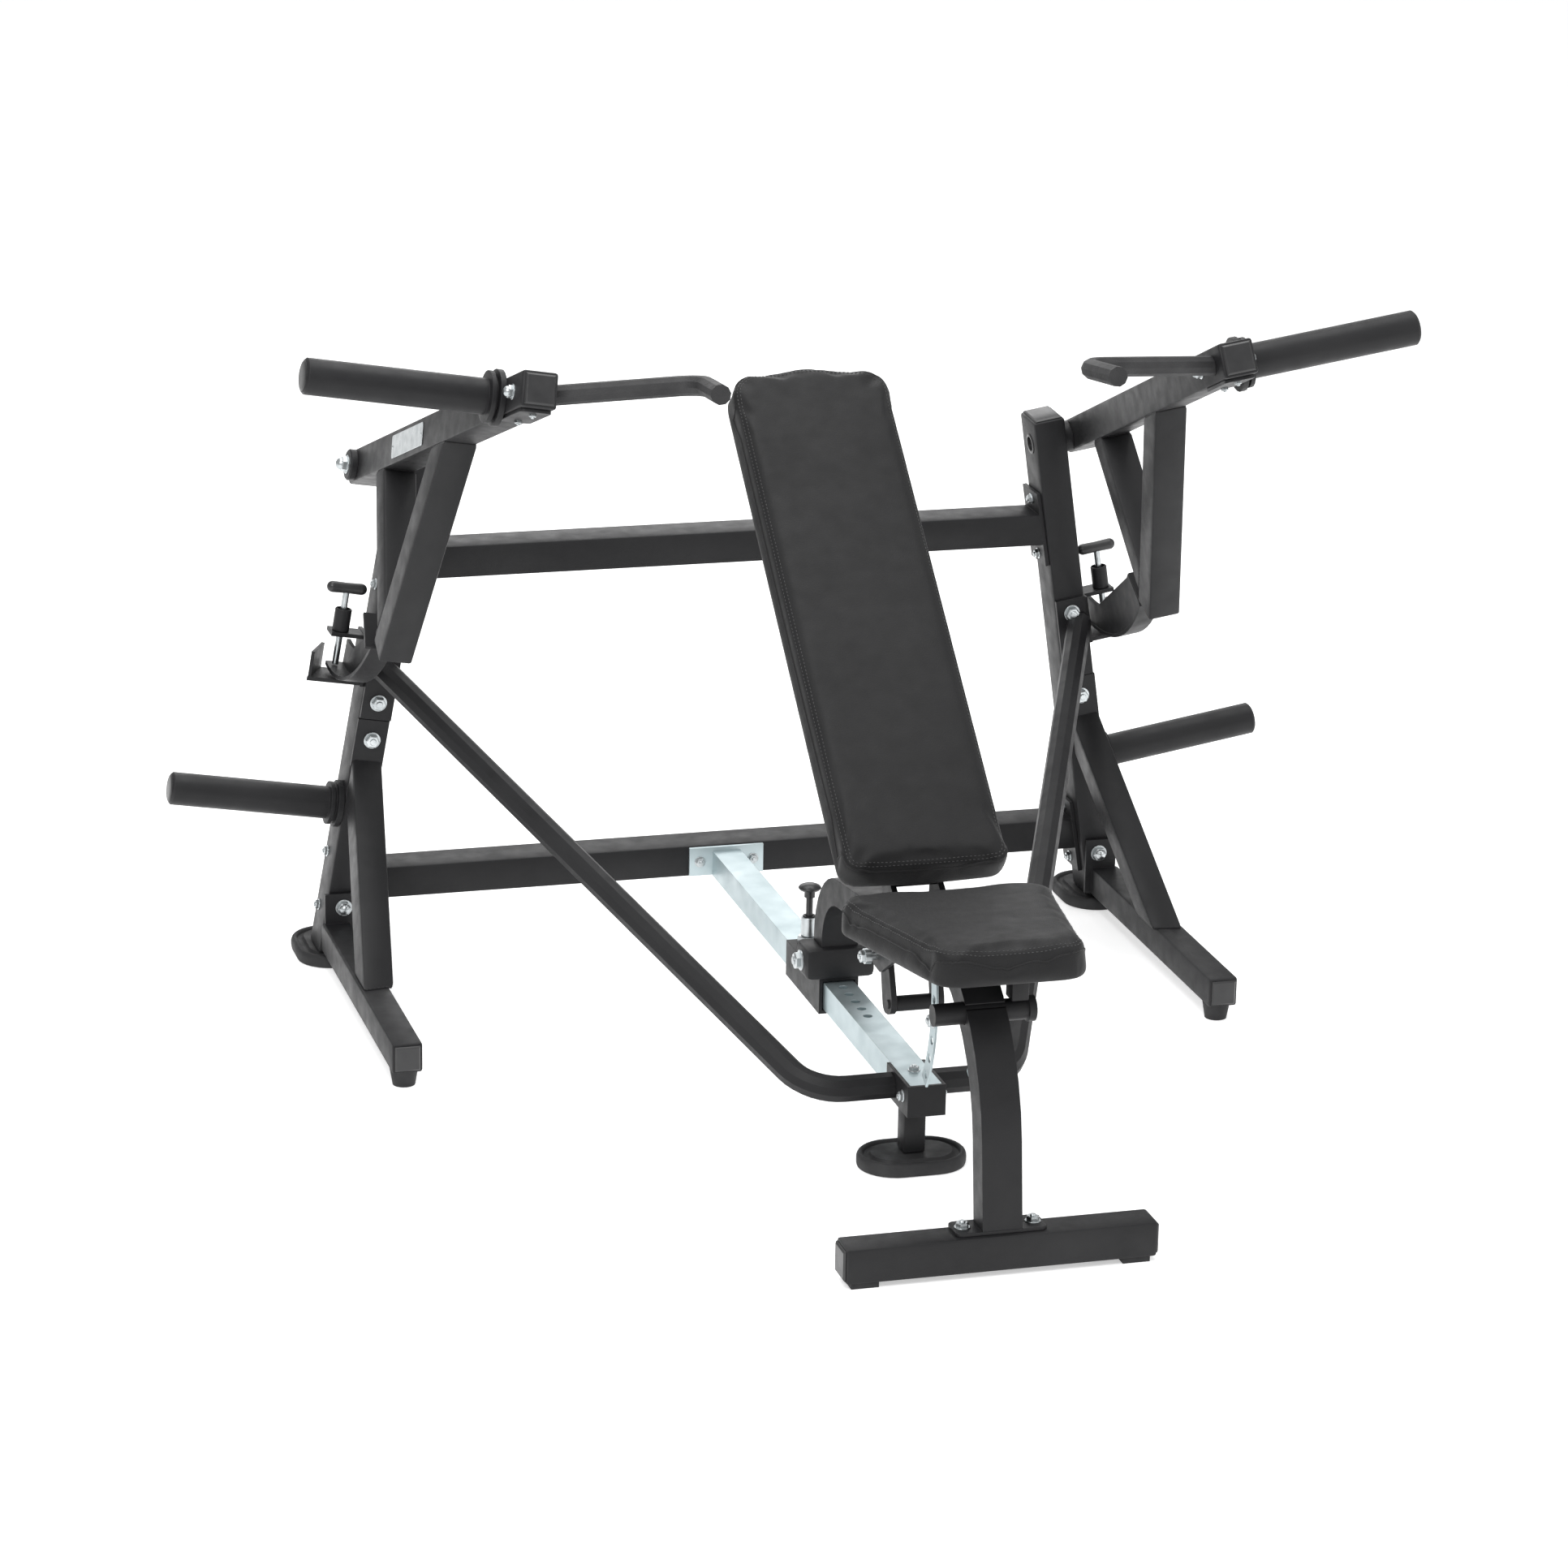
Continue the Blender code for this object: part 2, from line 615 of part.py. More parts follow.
def stop_arc(name, side, tower):
    """A flanged quadrant about the arm pivot; the buffer on its end plate holds the arm by its struts."""
    holder = empty("stop_pivot_" + name, Matrix.Translation((side * STOP_X, -PIVOT[0], PIVOT[1])), tower)
    outer, inner = STOP_RADIUS + STOP_DEPTH / 2, STOP_RADIUS - STOP_DEPTH / 2
    rear, front = radians(-97), radians(-42)
    inset = STOP_PLATE / 6      # keeps the joined plates' faces out of each other's planes
    flange = ring_sector(outer, outer - STOP_PLATE, rear, front - radians(0.3))
    across = Matrix.Translation((side * (STOP_WIDTH / 2 - STOP_INSIDE), 0.0, 0.0)) @ SIDE_VIEW
    obj = meshed(plate("stop_arc_" + name, flange, STOP_WIDTH, powder_coat(), across, holder))
    web = arc((0, 0), outer - STOP_PLATE / 2, rear + radians(0.3), front - radians(0.5), 12)
    web += arc((0, 0), STOP_TAB, front - radians(0.5), front - radians(3), 1)
    web += arc((0, 0), inner, radians(-86), rear + radians(0.3), 3)
    across = Matrix.Translation((side * (inset + STOP_PLATE / 2 - STOP_INSIDE), 0.0, 0.0)) @ SIDE_VIEW
    join(obj, plate_mesh("web", web, STOP_PLATE), across, holder)
    end = ring_sector(outer - inset, STOP_TAB, front - radians(1.1), front, 1)
    join(obj, plate_mesh("end", end, 2 * (STOP_INSIDE - 2 * inset)), SIDE_VIEW, holder)
    along = Vector((cos(front + pi / 2), sin(front + pi / 2)))
    spot = Vector((cos(front), sin(front))) * BUFFER_RADIUS + along * 2 * GAP
    profile = [(0.0, 0.0519), (0.0055, 0.0506), (0.0095, 0.0466), (0.0110, 0.0415), (0.0110, 0.0260),
               (0.0070, 0.0250), (0.0070, 0.0), (0.0, 0.0)]
    turn = Matrix.Rotation(pi / 2 - atan2(along.y, along.x), 4, "X")
    turned("stop_buffer_" + name, profile, rubber(), Matrix.Translation((0, -spot.x, spot.y)) @ turn, holder,
           steps=16)


# Rail and middle supports -------------------------------------------------------------------------
def rail():
    rear = LOWER_BAR[0] + POST_DEPTH / 2 + FLANGE + 2 * GAP
    length = RAIL_END - rear
    centre = (0.0, ahead(rear + length / 2), RAIL_TOP - RAIL[1] / 2)
    obj = box("rail", (RAIL[0], length, RAIL[1]), centre, galvanised())
    mesh = bpy.data.meshes.new("rail_holes")
    bm = bmesh.new()
    for step in range(11):
        spot = Matrix.Translation((0.0, ahead(KNOB_AHEAD + HOLE_PITCH * step), RAIL_TOP))
        bmesh.ops.create_cone(bm, cap_ends=True, segments=12, radius1=HOLE_RADIUS, radius2=HOLE_RADIUS,
                              depth=0.020, matrix=spot)
    bm.to_mesh(mesh)
    bm.free()
    cut(obj, mesh, Matrix())


def rail_plate():
    distance = LOWER_BAR[0] + POST_DEPTH / 2 + FLANGE / 2 + GAP
    centre = (0.0, ahead(distance), LOWER_BAR[1])
    box("rail_plate", (0.120, FLANGE, 0.046), centre, galvanised(), radius=0.001)


def rail_bracket():
    """The channel around the rail's front end, closed at the front, on its own short post."""
    wall = 0.005
    low = RAIL_TOP - RAIL[1] - wall
    size = (RAIL[0] + 2 * wall, 0.100, RAIL_TOP - low)
    centre = (0.0, ahead(RAIL_END + wall - size[1] / 2), (RAIL_TOP + low) / 2)
    obj = box("rail_bracket", size, centre, powder_coat())
    room = box_mesh("bracket_channel", (RAIL[0] + 2 * GAP, size[1], RAIL[1] + 0.02))
    cut(obj, room, Matrix.Translation((0.0, centre[1] + wall - GAP, RAIL_TOP - RAIL[1] / 2 + 0.01 - GAP)))
    height = low - OVAL[2] - 2 * GAP
    post = (0.0, ahead(1.130), OVAL[2] + GAP + height / 2)
    box("centre_post", (0.032, 0.032, height), post, powder_coat(), radius=0.003)


def v_tube(name, side):
    """The round tie from the upright's front down to the rail's front end."""
    side_of_bracket = RAIL[0] / 2 + 0.005 + GAP
    ends = [(side * V_HEAD[0], ahead(V_HEAD[1]), V_HEAD[2]),
            (side * V_CORNER[0], ahead(V_CORNER[1]), V_CORNER[2]),
            (side * side_of_bracket, ahead(V_CORNER[1]), V_CORNER[2])]
    obj = meshed(tube("v_tube_" + name, bent(ends, 0.075), V_TUBE_RADIUS, powder_coat(), Matrix()))
    height = 0.366
    place = Matrix.Translation((side * UPRIGHT_X, -upright_front(height) - GAP - FLANGE / 2, height))
    leaning = tower_matrix(side) @ place @ Matrix.Rotation(atan2(UPRIGHT_RAKE, 1.0), 4, "X")
    behind = 0.100
    room = leaning @ Matrix.Translation((0.0, behind / 2, 0.0))
    cut(obj, box_mesh("upright_room", (0.3, behind, 0.3)), room)
    join(obj, box_mesh("head_plate", (TUBE - 0.002, FLANGE, 0.130)), leaning)


# Bench --------------------------------------------------------------------------------------------
def carriage_top():
    return RAIL_TOP + CARRIAGE_WALL + CARRIAGE_PLAY


def carriage():
    """The sleeve that slides on the rail, and the block on top of it that holds the beam's foot."""
    around = 2 * (CARRIAGE_WALL + CARRIAGE_PLAY)
    size = (RAIL[0] + around, 0.176, RAIL[1] + around)
    centre = (0.0, ahead(CARRIAGE_REAR + size[1] / 2), RAIL_TOP - RAIL[1] / 2)
    obj = box("carriage", size, centre, powder_coat())
    room = box_mesh("rail_room", (RAIL[0] + 2 * CARRIAGE_PLAY, 0.3, RAIL[1] + 2 * CARRIAGE_PLAY))
    cut(obj, room, Matrix.Translation(centre))
    knob = Matrix.Translation((0.0, ahead(KNOB_AHEAD + 0.004), carriage_top() + 0.020))
    join(obj, cylinder_mesh("knob_barrel", 0.0095, 0.044, sides=20), knob)
    cut(obj, cylinder_mesh("knob_bore", 0.0058, 0.080, sides=16), knob)
    block = (0.0, ahead(BEAM_FOOT), carriage_top() + 0.024 + GAP)
    obj = box("pivot_block", (0.104, 0.062, 0.048), block, powder_coat(), radius=0.009)
    cut(obj, box_mesh("beam_room", (BEAM[0] + 2 * GAP, BEAM[1] + 2 * GAP, 0.1)), Matrix.Translation(block))


def rail_knob():
    """The pop pin with its mushroom knob."""
    holder = empty("rail_knob_axis", Matrix.Translation((0.0, ahead(KNOB_AHEAD + 0.004), carriage_top())))
    knob = [(0.0, 0.092), (0.0080, 0.0915), (0.0150, 0.0885), (0.0172, 0.0855), (0.0150, 0.0825),
            (0.0090, 0.0815), (0.0080, 0.0790), (0.0080, 0.0710), (0.0050, 0.0700), (0.0050, -0.0060),
            (0.0, -0.0060)]
    turned("rail_knob", knob, black_plastic(), Matrix(), holder, steps=24)


def beam_route():
    """Centre line of the beam: up from the carriage, over a bend, and forward to the top of the leg."""
    slope, bend = atan2(0.1228, 1.0), 0.100
    foot = Vector((BEAM_FOOT, carriage_top() + GAP))
    over = arc((foot.x + bend, 0.2005), bend, pi, pi / 2 + slope, 8)
    far = over[-1] + Vector((cos(slope), sin(slope))) * ((BEAM_END - over[-1].x) / cos(slope))
    return [foot] + over + [far], slope


def main_beam():
    route, slope = beam_route()
    place = Matrix.Translation((0, DATUM_Y, 0)) @ SIDE_VIEW
    plate("main_beam", ribbon(route, BEAM[1]), BEAM[0], powder_coat(), place)


def front_leg():
    """The curved leg, from the end of the beam down to the cross foot."""
    route, slope = beam_route()
    lean, turn, knee, sweep = radians(7), radians(60), 0.060, 0.240
    start = route[-1] + Vector((cos(slope), sin(slope))) * 2 * GAP
    lead = start + Vector((cos(slope), sin(slope))) * 0.004
    knee_centre = lead + Vector((sin(slope), -cos(slope))) * knee
    first = arc(knee_centre, knee, pi / 2 + slope, turn, 5)
    sweep_centre = knee_centre - Vector((cos(turn), sin(turn))) * (sweep - knee)
    second = arc(sweep_centre, sweep, turn, lean, 6)[1:]
    down = Vector((sin(lean), -cos(lean)))
    foot_height = CROSS_FOOT_BASE + CROSS_FOOT[2] + GAP
    foot = second[-1] + down * ((second[-1].y - foot_height - BEAM[1] / 2 * sin(lean)) / cos(lean))
    place = Matrix.Translation((0, DATUM_Y, 0)) @ SIDE_VIEW
    outline = ribbon([start] + first + second + [foot], BEAM[1])
    leg = meshed(plate("front_leg", outline, BEAM[0], powder_coat(), place))
    cross = Matrix.Translation((0.0, ahead(CROSS_TUBE[0]), CROSS_TUBE[1])) @ Matrix.Rotation(pi / 2, 4, "Y")
    cut(leg, cylinder_mesh("tube_bore", 0.0155, 0.2, sides=24), cross)


def cross_tube():
    """The short round tube through the top of the leg, with a cap on its right end."""
    profile = [(0.0, 0.070), (0.018, 0.070), (0.018, 0.060), (0.015, 0.059), (0.015, -0.070), (0.0, -0.070)]
    place = Matrix.Translation((0.0, ahead(CROSS_TUBE[0]), CROSS_TUBE[1])) @ Matrix.Rotation(pi / 2, 4, "Y")
    turned("cross_tube", profile, powder_coat(), place)
    height = 0.034
    rest = (0.047, ahead(CROSS_TUBE[0]), CROSS_TUBE[1] + 0.015 + GAP + height / 2)
    box("seat_rest", (0.024, 0.028, height), rest, powder_coat(), radius=0.002)


def cross_foot():
    centre = (0.0, ahead(CROSS_FOOT_AHEAD), CROSS_FOOT_BASE + CROSS_FOOT[2] / 2)
    box("cross_foot", CROSS_FOOT, centre, powder_coat(), radius=0.004)
    for name, side in SIDES.items():
        height = CROSS_FOOT_BASE - GAP
        box("foot_pad_" + name, (0.038, 0.040, height), (side * 0.188, centre[1], height / 2), rubber())


def hinge_bolt():
    head = BOLT_RADIUS + 0.005
    profile = [(0.0, 0.066), (head, 0.066), (head, 0.057), (BOLT_RADIUS, 0.0565), (BOLT_RADIUS, -0.0565),
               (head, -0.057), (head, -0.066), (0.0, -0.066)]
    place = Matrix.Translation((0.0, ahead(HINGE[0]), HINGE[1])) @ Matrix.Rotation(pi / 2, 4, "Y")
    turned("hinge_bolt", profile, zinc(), place, steps=16)


def hinge_axis(name):
    return empty(name, Matrix.Translation((0.0, ahead(HINGE[0]), HINGE[1])))


def from_hinge(point):
    return Vector((point[0] - HINGE[0], point[1] - HINGE[1]))


def bored(obj, parent):
    bore = cylinder_mesh("bolt_bore", BOLT_RADIUS + GAP, 0.2, sides=16)
    cut(obj, bore, Matrix.Rotation(pi / 2, 4, "Y"), parent)


def back_rest(hinge):
    """Back pad, the bar behind it, and the lever plates that hang below the hinge."""
    foot = from_hinge(BACK_FOOT)
    up = Matrix.Rotation(BACK_TILT, 4, "X")
    width, length, thickness = BACK_PAD
    pad = Matrix.Translation((0.0, -foot.x, foot.y)) @ up
    half, crown = width / 2, 0.016
    corners = [((-half, 0.0), 0.028), ((half, 0.0), 0.028), ((half, length - crown), 0.045),
               ((0.0, length), 0.20), ((-half, length - crown), 0.045)]
    body = pad @ Matrix.Translation((0.0, 0.0, -thickness / 2))
    plate("back_pad", fillet(corners), thickness, upholstery(), body, hinge, edge=0.012)
    depth, low, high = 0.025, 0.020, 0.640
    spine = pad @ Matrix.Translation((0.0, (low + high) / 2, -thickness - GAP - depth / 2))
    frame = add("back_frame", box_mesh("back_frame", (0.064, high - low, depth)), powder_coat(), spine, hinge)
    lever = [((0.004, -0.082), 0.014), ((0.052, -0.074), 0.020), ((0.022, 0.0), 0.0), ((0.058, 0.085), 0.010),
             ((-0.012, 0.132), 0.010), ((-0.020, 0.010), 0.010)]
    for side in SIDES.values():
        flat = Matrix.Translation((side * 0.034, 0.0, 0.0)) @ SIDE_VIEW
        join(frame, plate_mesh("lever", fillet(lever, 4), 0.008), flat, hinge)
    bored(frame, hinge)


def seat(hinge):
    """Seat pad, its carrier with two side plates down to the hinge, and the curved adjuster strips."""
    rear = from_hinge(SEAT_REAR)
    rear_width, front_width, length, thickness = SEAT_PAD
    pad = Matrix.Translation((0.0, -rear.x, rear.y)) @ Matrix.Rotation(pi - SEAT_TILT, 4, "X")
    corners = [((-rear_width / 2, 0.0), 0.040), ((rear_width / 2, 0.0), 0.040),
               ((front_width / 2, length), 0.040), ((-front_width / 2, length), 0.040)]
    body = pad @ Matrix.Translation((0.0, 0.0, thickness / 2))
    plate("seat_pad", fillet(corners), thickness, upholstery(), body, hinge, edge=0.010)
    deck = pad @ Matrix.Translation((0.0, 0.115, thickness + GAP + 0.003))
    frame = add("seat_frame", box_mesh("seat_frame", (0.110, 0.210, 0.006)), powder_coat(), deck, hinge)
    cheek = [((-0.018, -0.016), 0.012), ((0.020, -0.018), 0.012), ((0.150, 0.060), 0.020),
             ((0.200, 0.0885), 0.0), ((0.141, 0.0845), 0.0), ((-0.018, 0.018), 0.012)]
    for side in SIDES.values():
        flat = Matrix.Translation((side * 0.046, 0.0, 0.0)) @ SIDE_VIEW
        join(frame, plate_mesh("cheek", fillet(cheek, 4), 0.006), flat, hinge)
    bored(frame, hinge)
    for name, side in SIDES.items():
        adjuster_strip(name, side, hinge)


def adjuster_strip(name, side, hinge):
    """A curved, pierced strip about the hinge, beside the beam."""
    band = ribbon(arc((0, 0), STRIP_RADIUS, radians(-33), radians(19), 10), 0.022)
    flat = Matrix.Translation((side * 0.0320, 0.0, 0.0)) @ SIDE_VIEW
    strip = meshed(plate("adjuster_strip_" + name, band, 0.003, galvanised(), flat, hinge))
    mesh = bpy.data.meshes.new("strip_holes")
    bm = bmesh.new()
    for degrees in range(-29, 17, 8):
        angle = radians(degrees)
        spot = Matrix.Translation((0.0, -STRIP_RADIUS * cos(angle), STRIP_RADIUS * sin(angle)))
        bmesh.ops.create_cone(bm, cap_ends=True, segments=12, radius1=0.0065, radius2=0.0065, depth=0.1,
                              matrix=spot @ Matrix.Rotation(pi / 2, 4, "Y"))
    bm.to_mesh(mesh)
    bm.free()
    cut(strip, mesh, Matrix(), hinge)


# The whole machine --------------------------------------------------------------------------------
def towers():
    for name, side in SIDES.items():
        tower = empty("tower_" + name, tower_matrix(side))
        upright(name, side, tower)
        floor_tube(name, side)
        bumper_foot(name, side)
        oval_foot("rear_foot_" + name, (side * FLOOR_TUBE_X, ahead(0.088)), pi / 2)
        tower_brace(name, side, tower)
        storage_horn(name, side, tower)
        pin_bracket(name, side, tower)
        pull_pin(name, side, tower)
        stop_arc(name, side, tower)
        lifting_arm(name, side, arm_axes(side, tower))
        v_tube(name, side)
    crossbar("upper_crossbar", UPPER_BAR)
    crossbar("lower_crossbar", LOWER_BAR)


def lifting_arm(name, side, arm):
    arm_tube(name, arm)
    arm_struts(name, arm)
    arm_sleeve(name, side, arm)
    handle(name, side, arm)
    pivot_hub(name, side, arm)


def middle():
    rail()
    rail_plate()
    rail_bracket()
    oval_foot("centre_foot", (0.0, ahead(1.132)))


def bench():
    carriage()
    rail_knob()
    main_beam()
    front_leg()
    cross_tube()
    cross_foot()
    hinge_bolt()
    back_rest(hinge_axis("back_axis"))
    seat(hinge_axis("seat_axis"))


towers()
middle()
bench()
bpy.context.view_layer.update()
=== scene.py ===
"""Looks of the leverage chest press: finishes, upholstery, fasteners, welds, caps, camera and light.

Metres, +Z up, in the CAD frame. "Ahead" is measured forward (-Y) from the datum plane behind the towers.
"""

import json
from math import atan2, cos, pi, radians, sin

import bmesh
import bpy
from mathutils import Matrix, Vector, noise
from mathutils.bvhtree import BVHTree


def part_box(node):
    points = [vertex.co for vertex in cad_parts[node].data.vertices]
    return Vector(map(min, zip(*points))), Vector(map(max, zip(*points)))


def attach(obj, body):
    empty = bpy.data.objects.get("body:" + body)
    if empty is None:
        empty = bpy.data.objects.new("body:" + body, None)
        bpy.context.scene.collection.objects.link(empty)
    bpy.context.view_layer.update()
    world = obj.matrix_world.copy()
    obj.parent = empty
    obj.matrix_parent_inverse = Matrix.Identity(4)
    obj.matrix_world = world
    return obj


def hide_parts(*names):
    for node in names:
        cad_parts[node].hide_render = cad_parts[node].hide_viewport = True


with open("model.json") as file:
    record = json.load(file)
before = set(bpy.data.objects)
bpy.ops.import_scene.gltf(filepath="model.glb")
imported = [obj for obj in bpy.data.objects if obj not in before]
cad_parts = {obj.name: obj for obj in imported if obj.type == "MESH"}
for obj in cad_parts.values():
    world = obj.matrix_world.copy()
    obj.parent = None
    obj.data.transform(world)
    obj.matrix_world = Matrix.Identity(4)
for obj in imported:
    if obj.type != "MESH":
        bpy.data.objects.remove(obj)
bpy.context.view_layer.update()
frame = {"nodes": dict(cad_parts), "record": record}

# Places taken over from the CAD model ---------------------------------------------------------------
DATUM_Y = 0.7841
LEAN = radians(9.3)
TOE = radians(1.36)
TUBE = 0.050                    # square tube of arms, braces and uprights, across
GAP = 0.0003                    # between neighbours that touch
UPRIGHT_X = 0.620               # centre of the upright, across the leaned plane
UPRIGHT_AHEAD = 0.150           # front face of the upright at the foot of the plane
UPRIGHT_RAKE = 0.046            # how far the front face moves ahead for each metre up
FLANGE = 0.006
FLANGE_BOLTS = ((0.138, 0.594), (0.138, 0.504), (0.100, 0.0665), (0.100, -0.0205))  # ahead, up the plane
BRACE_BOLTS = (0.408, 0.328, 0.268)     # up the plane
FLOOR_TUBE_BOLT = (0.612, 0.096)        # across, height
PIVOT = (0.150, 0.685)          # arm pivot: ahead, up the plane
ARM_X = 0.684
ARM_PITCH = radians(20.65)
ARM_END_PLATE = (0.044, 0.104, 0.005)   # width, length, thickness, under the arm's end
ARM_END_AHEAD = 0.812           # its middle, along the arm
STRUT_FOOT = (0.314, -0.217)    # front strut's front corner at its foot, from the pivot
STRUT_HEAD = (0.475, 0.152)     # and at its head, under the arm
BOSS_HEIGHT = 0.011
SLEEVE_AHEAD = 0.766            # along the arm, from the pivot
SLEEVE_RADIUS = 0.025
SLEEVE_REACH = 0.272            # from the arm's face to the sleeve's end
HANDLE_AHEAD = 0.830
HORN = (0.128, 0.152)           # storage horn: ahead, up the plane
HORN_REACH = 0.263              # from the upright's face to the horn's end
STOP_X = 0.686
TRAY_TOP = 0.424                # up the plane
COLLAR_AHEAD = 0.606            # middle of the rail knob's collar
CARRIAGE_TOP = 0.146
HINGE = (1.100, 0.300)          # shared hinge of seat and back: ahead, height
HINGE_END = 0.066               # where the hinge bolt's heads sit, from the middle
BACK_TILT = radians(40.2)
BACK_FOOT = (1.185, 0.452)      # lower edge of the back pad's face
BACK_PAD = (0.1235, 0.862, 0.055)       # half width, length, thickness
SEAT_TILT = radians(4.0)
SEAT_REAR = (1.226, 0.439)
SEAT_PAD = (0.160, 0.330, 0.053)
STRIP_RADIUS = 0.2175           # seat adjuster strips, about the hinge
FOOT_PLATE_AHEAD = 1.513        # middle of the plate under the front leg
FOOT_PLATE_BASE = 0.0582
SIDES = {"left": -1, "right": 1}

M8, M10, M12 = 0.008, 0.010, 0.012
WELD_RADIUS = 0.0026
UP, DOWN = Vector((0, 0, 1)), Vector((0, 0, -1))
FORWARD = Vector((0, -1, 0))
TO_FRONT = Matrix.Rotation(pi / 2, 4, "X")
ACROSS = Matrix.Rotation(pi / 2, 4, "Y")


def ahead(distance):
    return DATUM_Y - distance


def to_side(side):
    """Turns +z to face outward on this side."""
    return Matrix.Rotation(side * pi / 2, 4, "Y")


def tower_matrix(side):
    return Matrix.Translation((0.0, DATUM_Y, 0.0)) @ Matrix.Rotation(-side * LEAN, 4, "Y")


def arm_matrix(side):
    pivot = Matrix.Translation((side * ARM_X, -PIVOT[0], PIVOT[1]))
    return tower_matrix(side) @ pivot @ Matrix.Rotation(-side * TOE, 4, "Z")


def along_arm(distance, rise=0.0):
    """From the pivot, in the arm's own frame: along the arm and square to it."""
    a = ARM_PITCH
    return Vector((0.0, -(distance * cos(a) - rise * sin(a)), distance * sin(a) + rise * cos(a)))


def upright_front(height):
    return UPRIGHT_AHEAD + UPRIGHT_RAKE * height


# Materials ------------------------------------------------------------------------------------------
def add_node(tree, kind, inputs, **settings):
    """A node whose inputs are linked to sockets or set to values."""
    made = tree.nodes.new(kind)
    for name, value in settings.items():
        setattr(made, name, value)
    for name, value in inputs.items():
        if isinstance(value, bpy.types.NodeSocket):
            tree.links.new(value, made.inputs[name])
        else:
            made.inputs[name].default_value = value
    return made


def ramp(tree, factor, low, high, first, last):
    made = add_node(tree, "ShaderNodeValToRGB", {"Fac": factor})
    made.color_ramp.elements[0].position = low
    made.color_ramp.elements[1].position = high
    made.color_ramp.elements[0].color = (*first, 1.0)
    made.color_ramp.elements[1].color = (*last, 1.0)
    return made.outputs["Color"]


def blended(tree, factor, first, last):
    made = tree.nodes.new("ShaderNodeMix")
    made.data_type = "RGBA"
    tree.links.new(factor, made.inputs[0])
    tree.links.new(first, made.inputs[6])
    made.inputs[7].default_value = (*last, 1.0)
    return made.outputs[2]


def pattern(tree, coords, kind, scale):
    if kind == "cells":
        made = add_node(tree, "ShaderNodeTexVoronoi", {"Vector": coords, "Scale": scale})
        return made.outputs["Distance"]
    if kind == "brushed":
        stretched = add_node(tree, "ShaderNodeMapping", {"Vector": coords, "Scale": (1.0, 0.05, 1.0)})
        coords = stretched.outputs["Vector"]
    made = add_node(tree, "ShaderNodeTexNoise", {"Vector": coords, "Scale": scale, "Detail": 4.0})
    return made.outputs["Fac"]


def finish_look(name, tones, patches, roughness, bumps, edge, worn, constants):
    """Colour drifting between two tones, roughness drifting with it, layered bumps and rubbed edges."""
    made = bpy.data.materials.new(name)
    made.use_nodes = True
    tree = made.node_tree
    shader = tree.nodes["Principled BSDF"]
    coords = add_node(tree, "ShaderNodeTexCoord", {}).outputs["Object"]
    drift = pattern(tree, coords, *patches)
    colour = ramp(tree, drift, 0.30, 0.70, *tones)
    rounded = add_node(tree, "ShaderNodeBevel", {"Radius": edge}, samples=4).outputs["Normal"]
    facing = add_node(tree, "ShaderNodeNewGeometry", {}).outputs["Normal"]
    both = add_node(tree, "ShaderNodeVectorMath", {0: rounded, 1: facing}, operation="DOT_PRODUCT")
    rub = add_node(tree, "ShaderNodeMapRange", {"Value": both.outputs["Value"], "From Min": 1.0,
                                                "From Max": 0.86, "To Min": 0.0, "To Max": 0.8})
    broken = pattern(tree, coords, "noise", 70.0)
    patchy = add_node(tree, "ShaderNodeMath", {0: rub.outputs["Result"], 1: broken}, operation="MULTIPLY")
    colour = blended(tree, patchy.outputs["Value"], colour, worn)
    tree.links.new(colour, shader.inputs["Base Color"])
    fine = pattern(tree, coords, "noise", 38.0)
    gloss = add_node(tree, "ShaderNodeMapRange", {"Value": fine, "From Min": 0.3, "From Max": 0.7,
                                                  "To Min": roughness[0], "To Max": roughness[1]})
    tree.links.new(gloss.outputs["Result"], shader.inputs["Roughness"])
    normal = rounded
    for kind, scale, strength, depth in bumps:
        height = pattern(tree, coords, kind, scale)
        relief = add_node(tree, "ShaderNodeBump", {"Height": height, "Strength": strength,
                                                   "Distance": depth, "Normal": normal})
        normal = relief.outputs["Normal"]
    tree.links.new(normal, shader.inputs["Normal"])
    for socket, value in constants.items():
        shader.inputs[socket].default_value = value
    return made


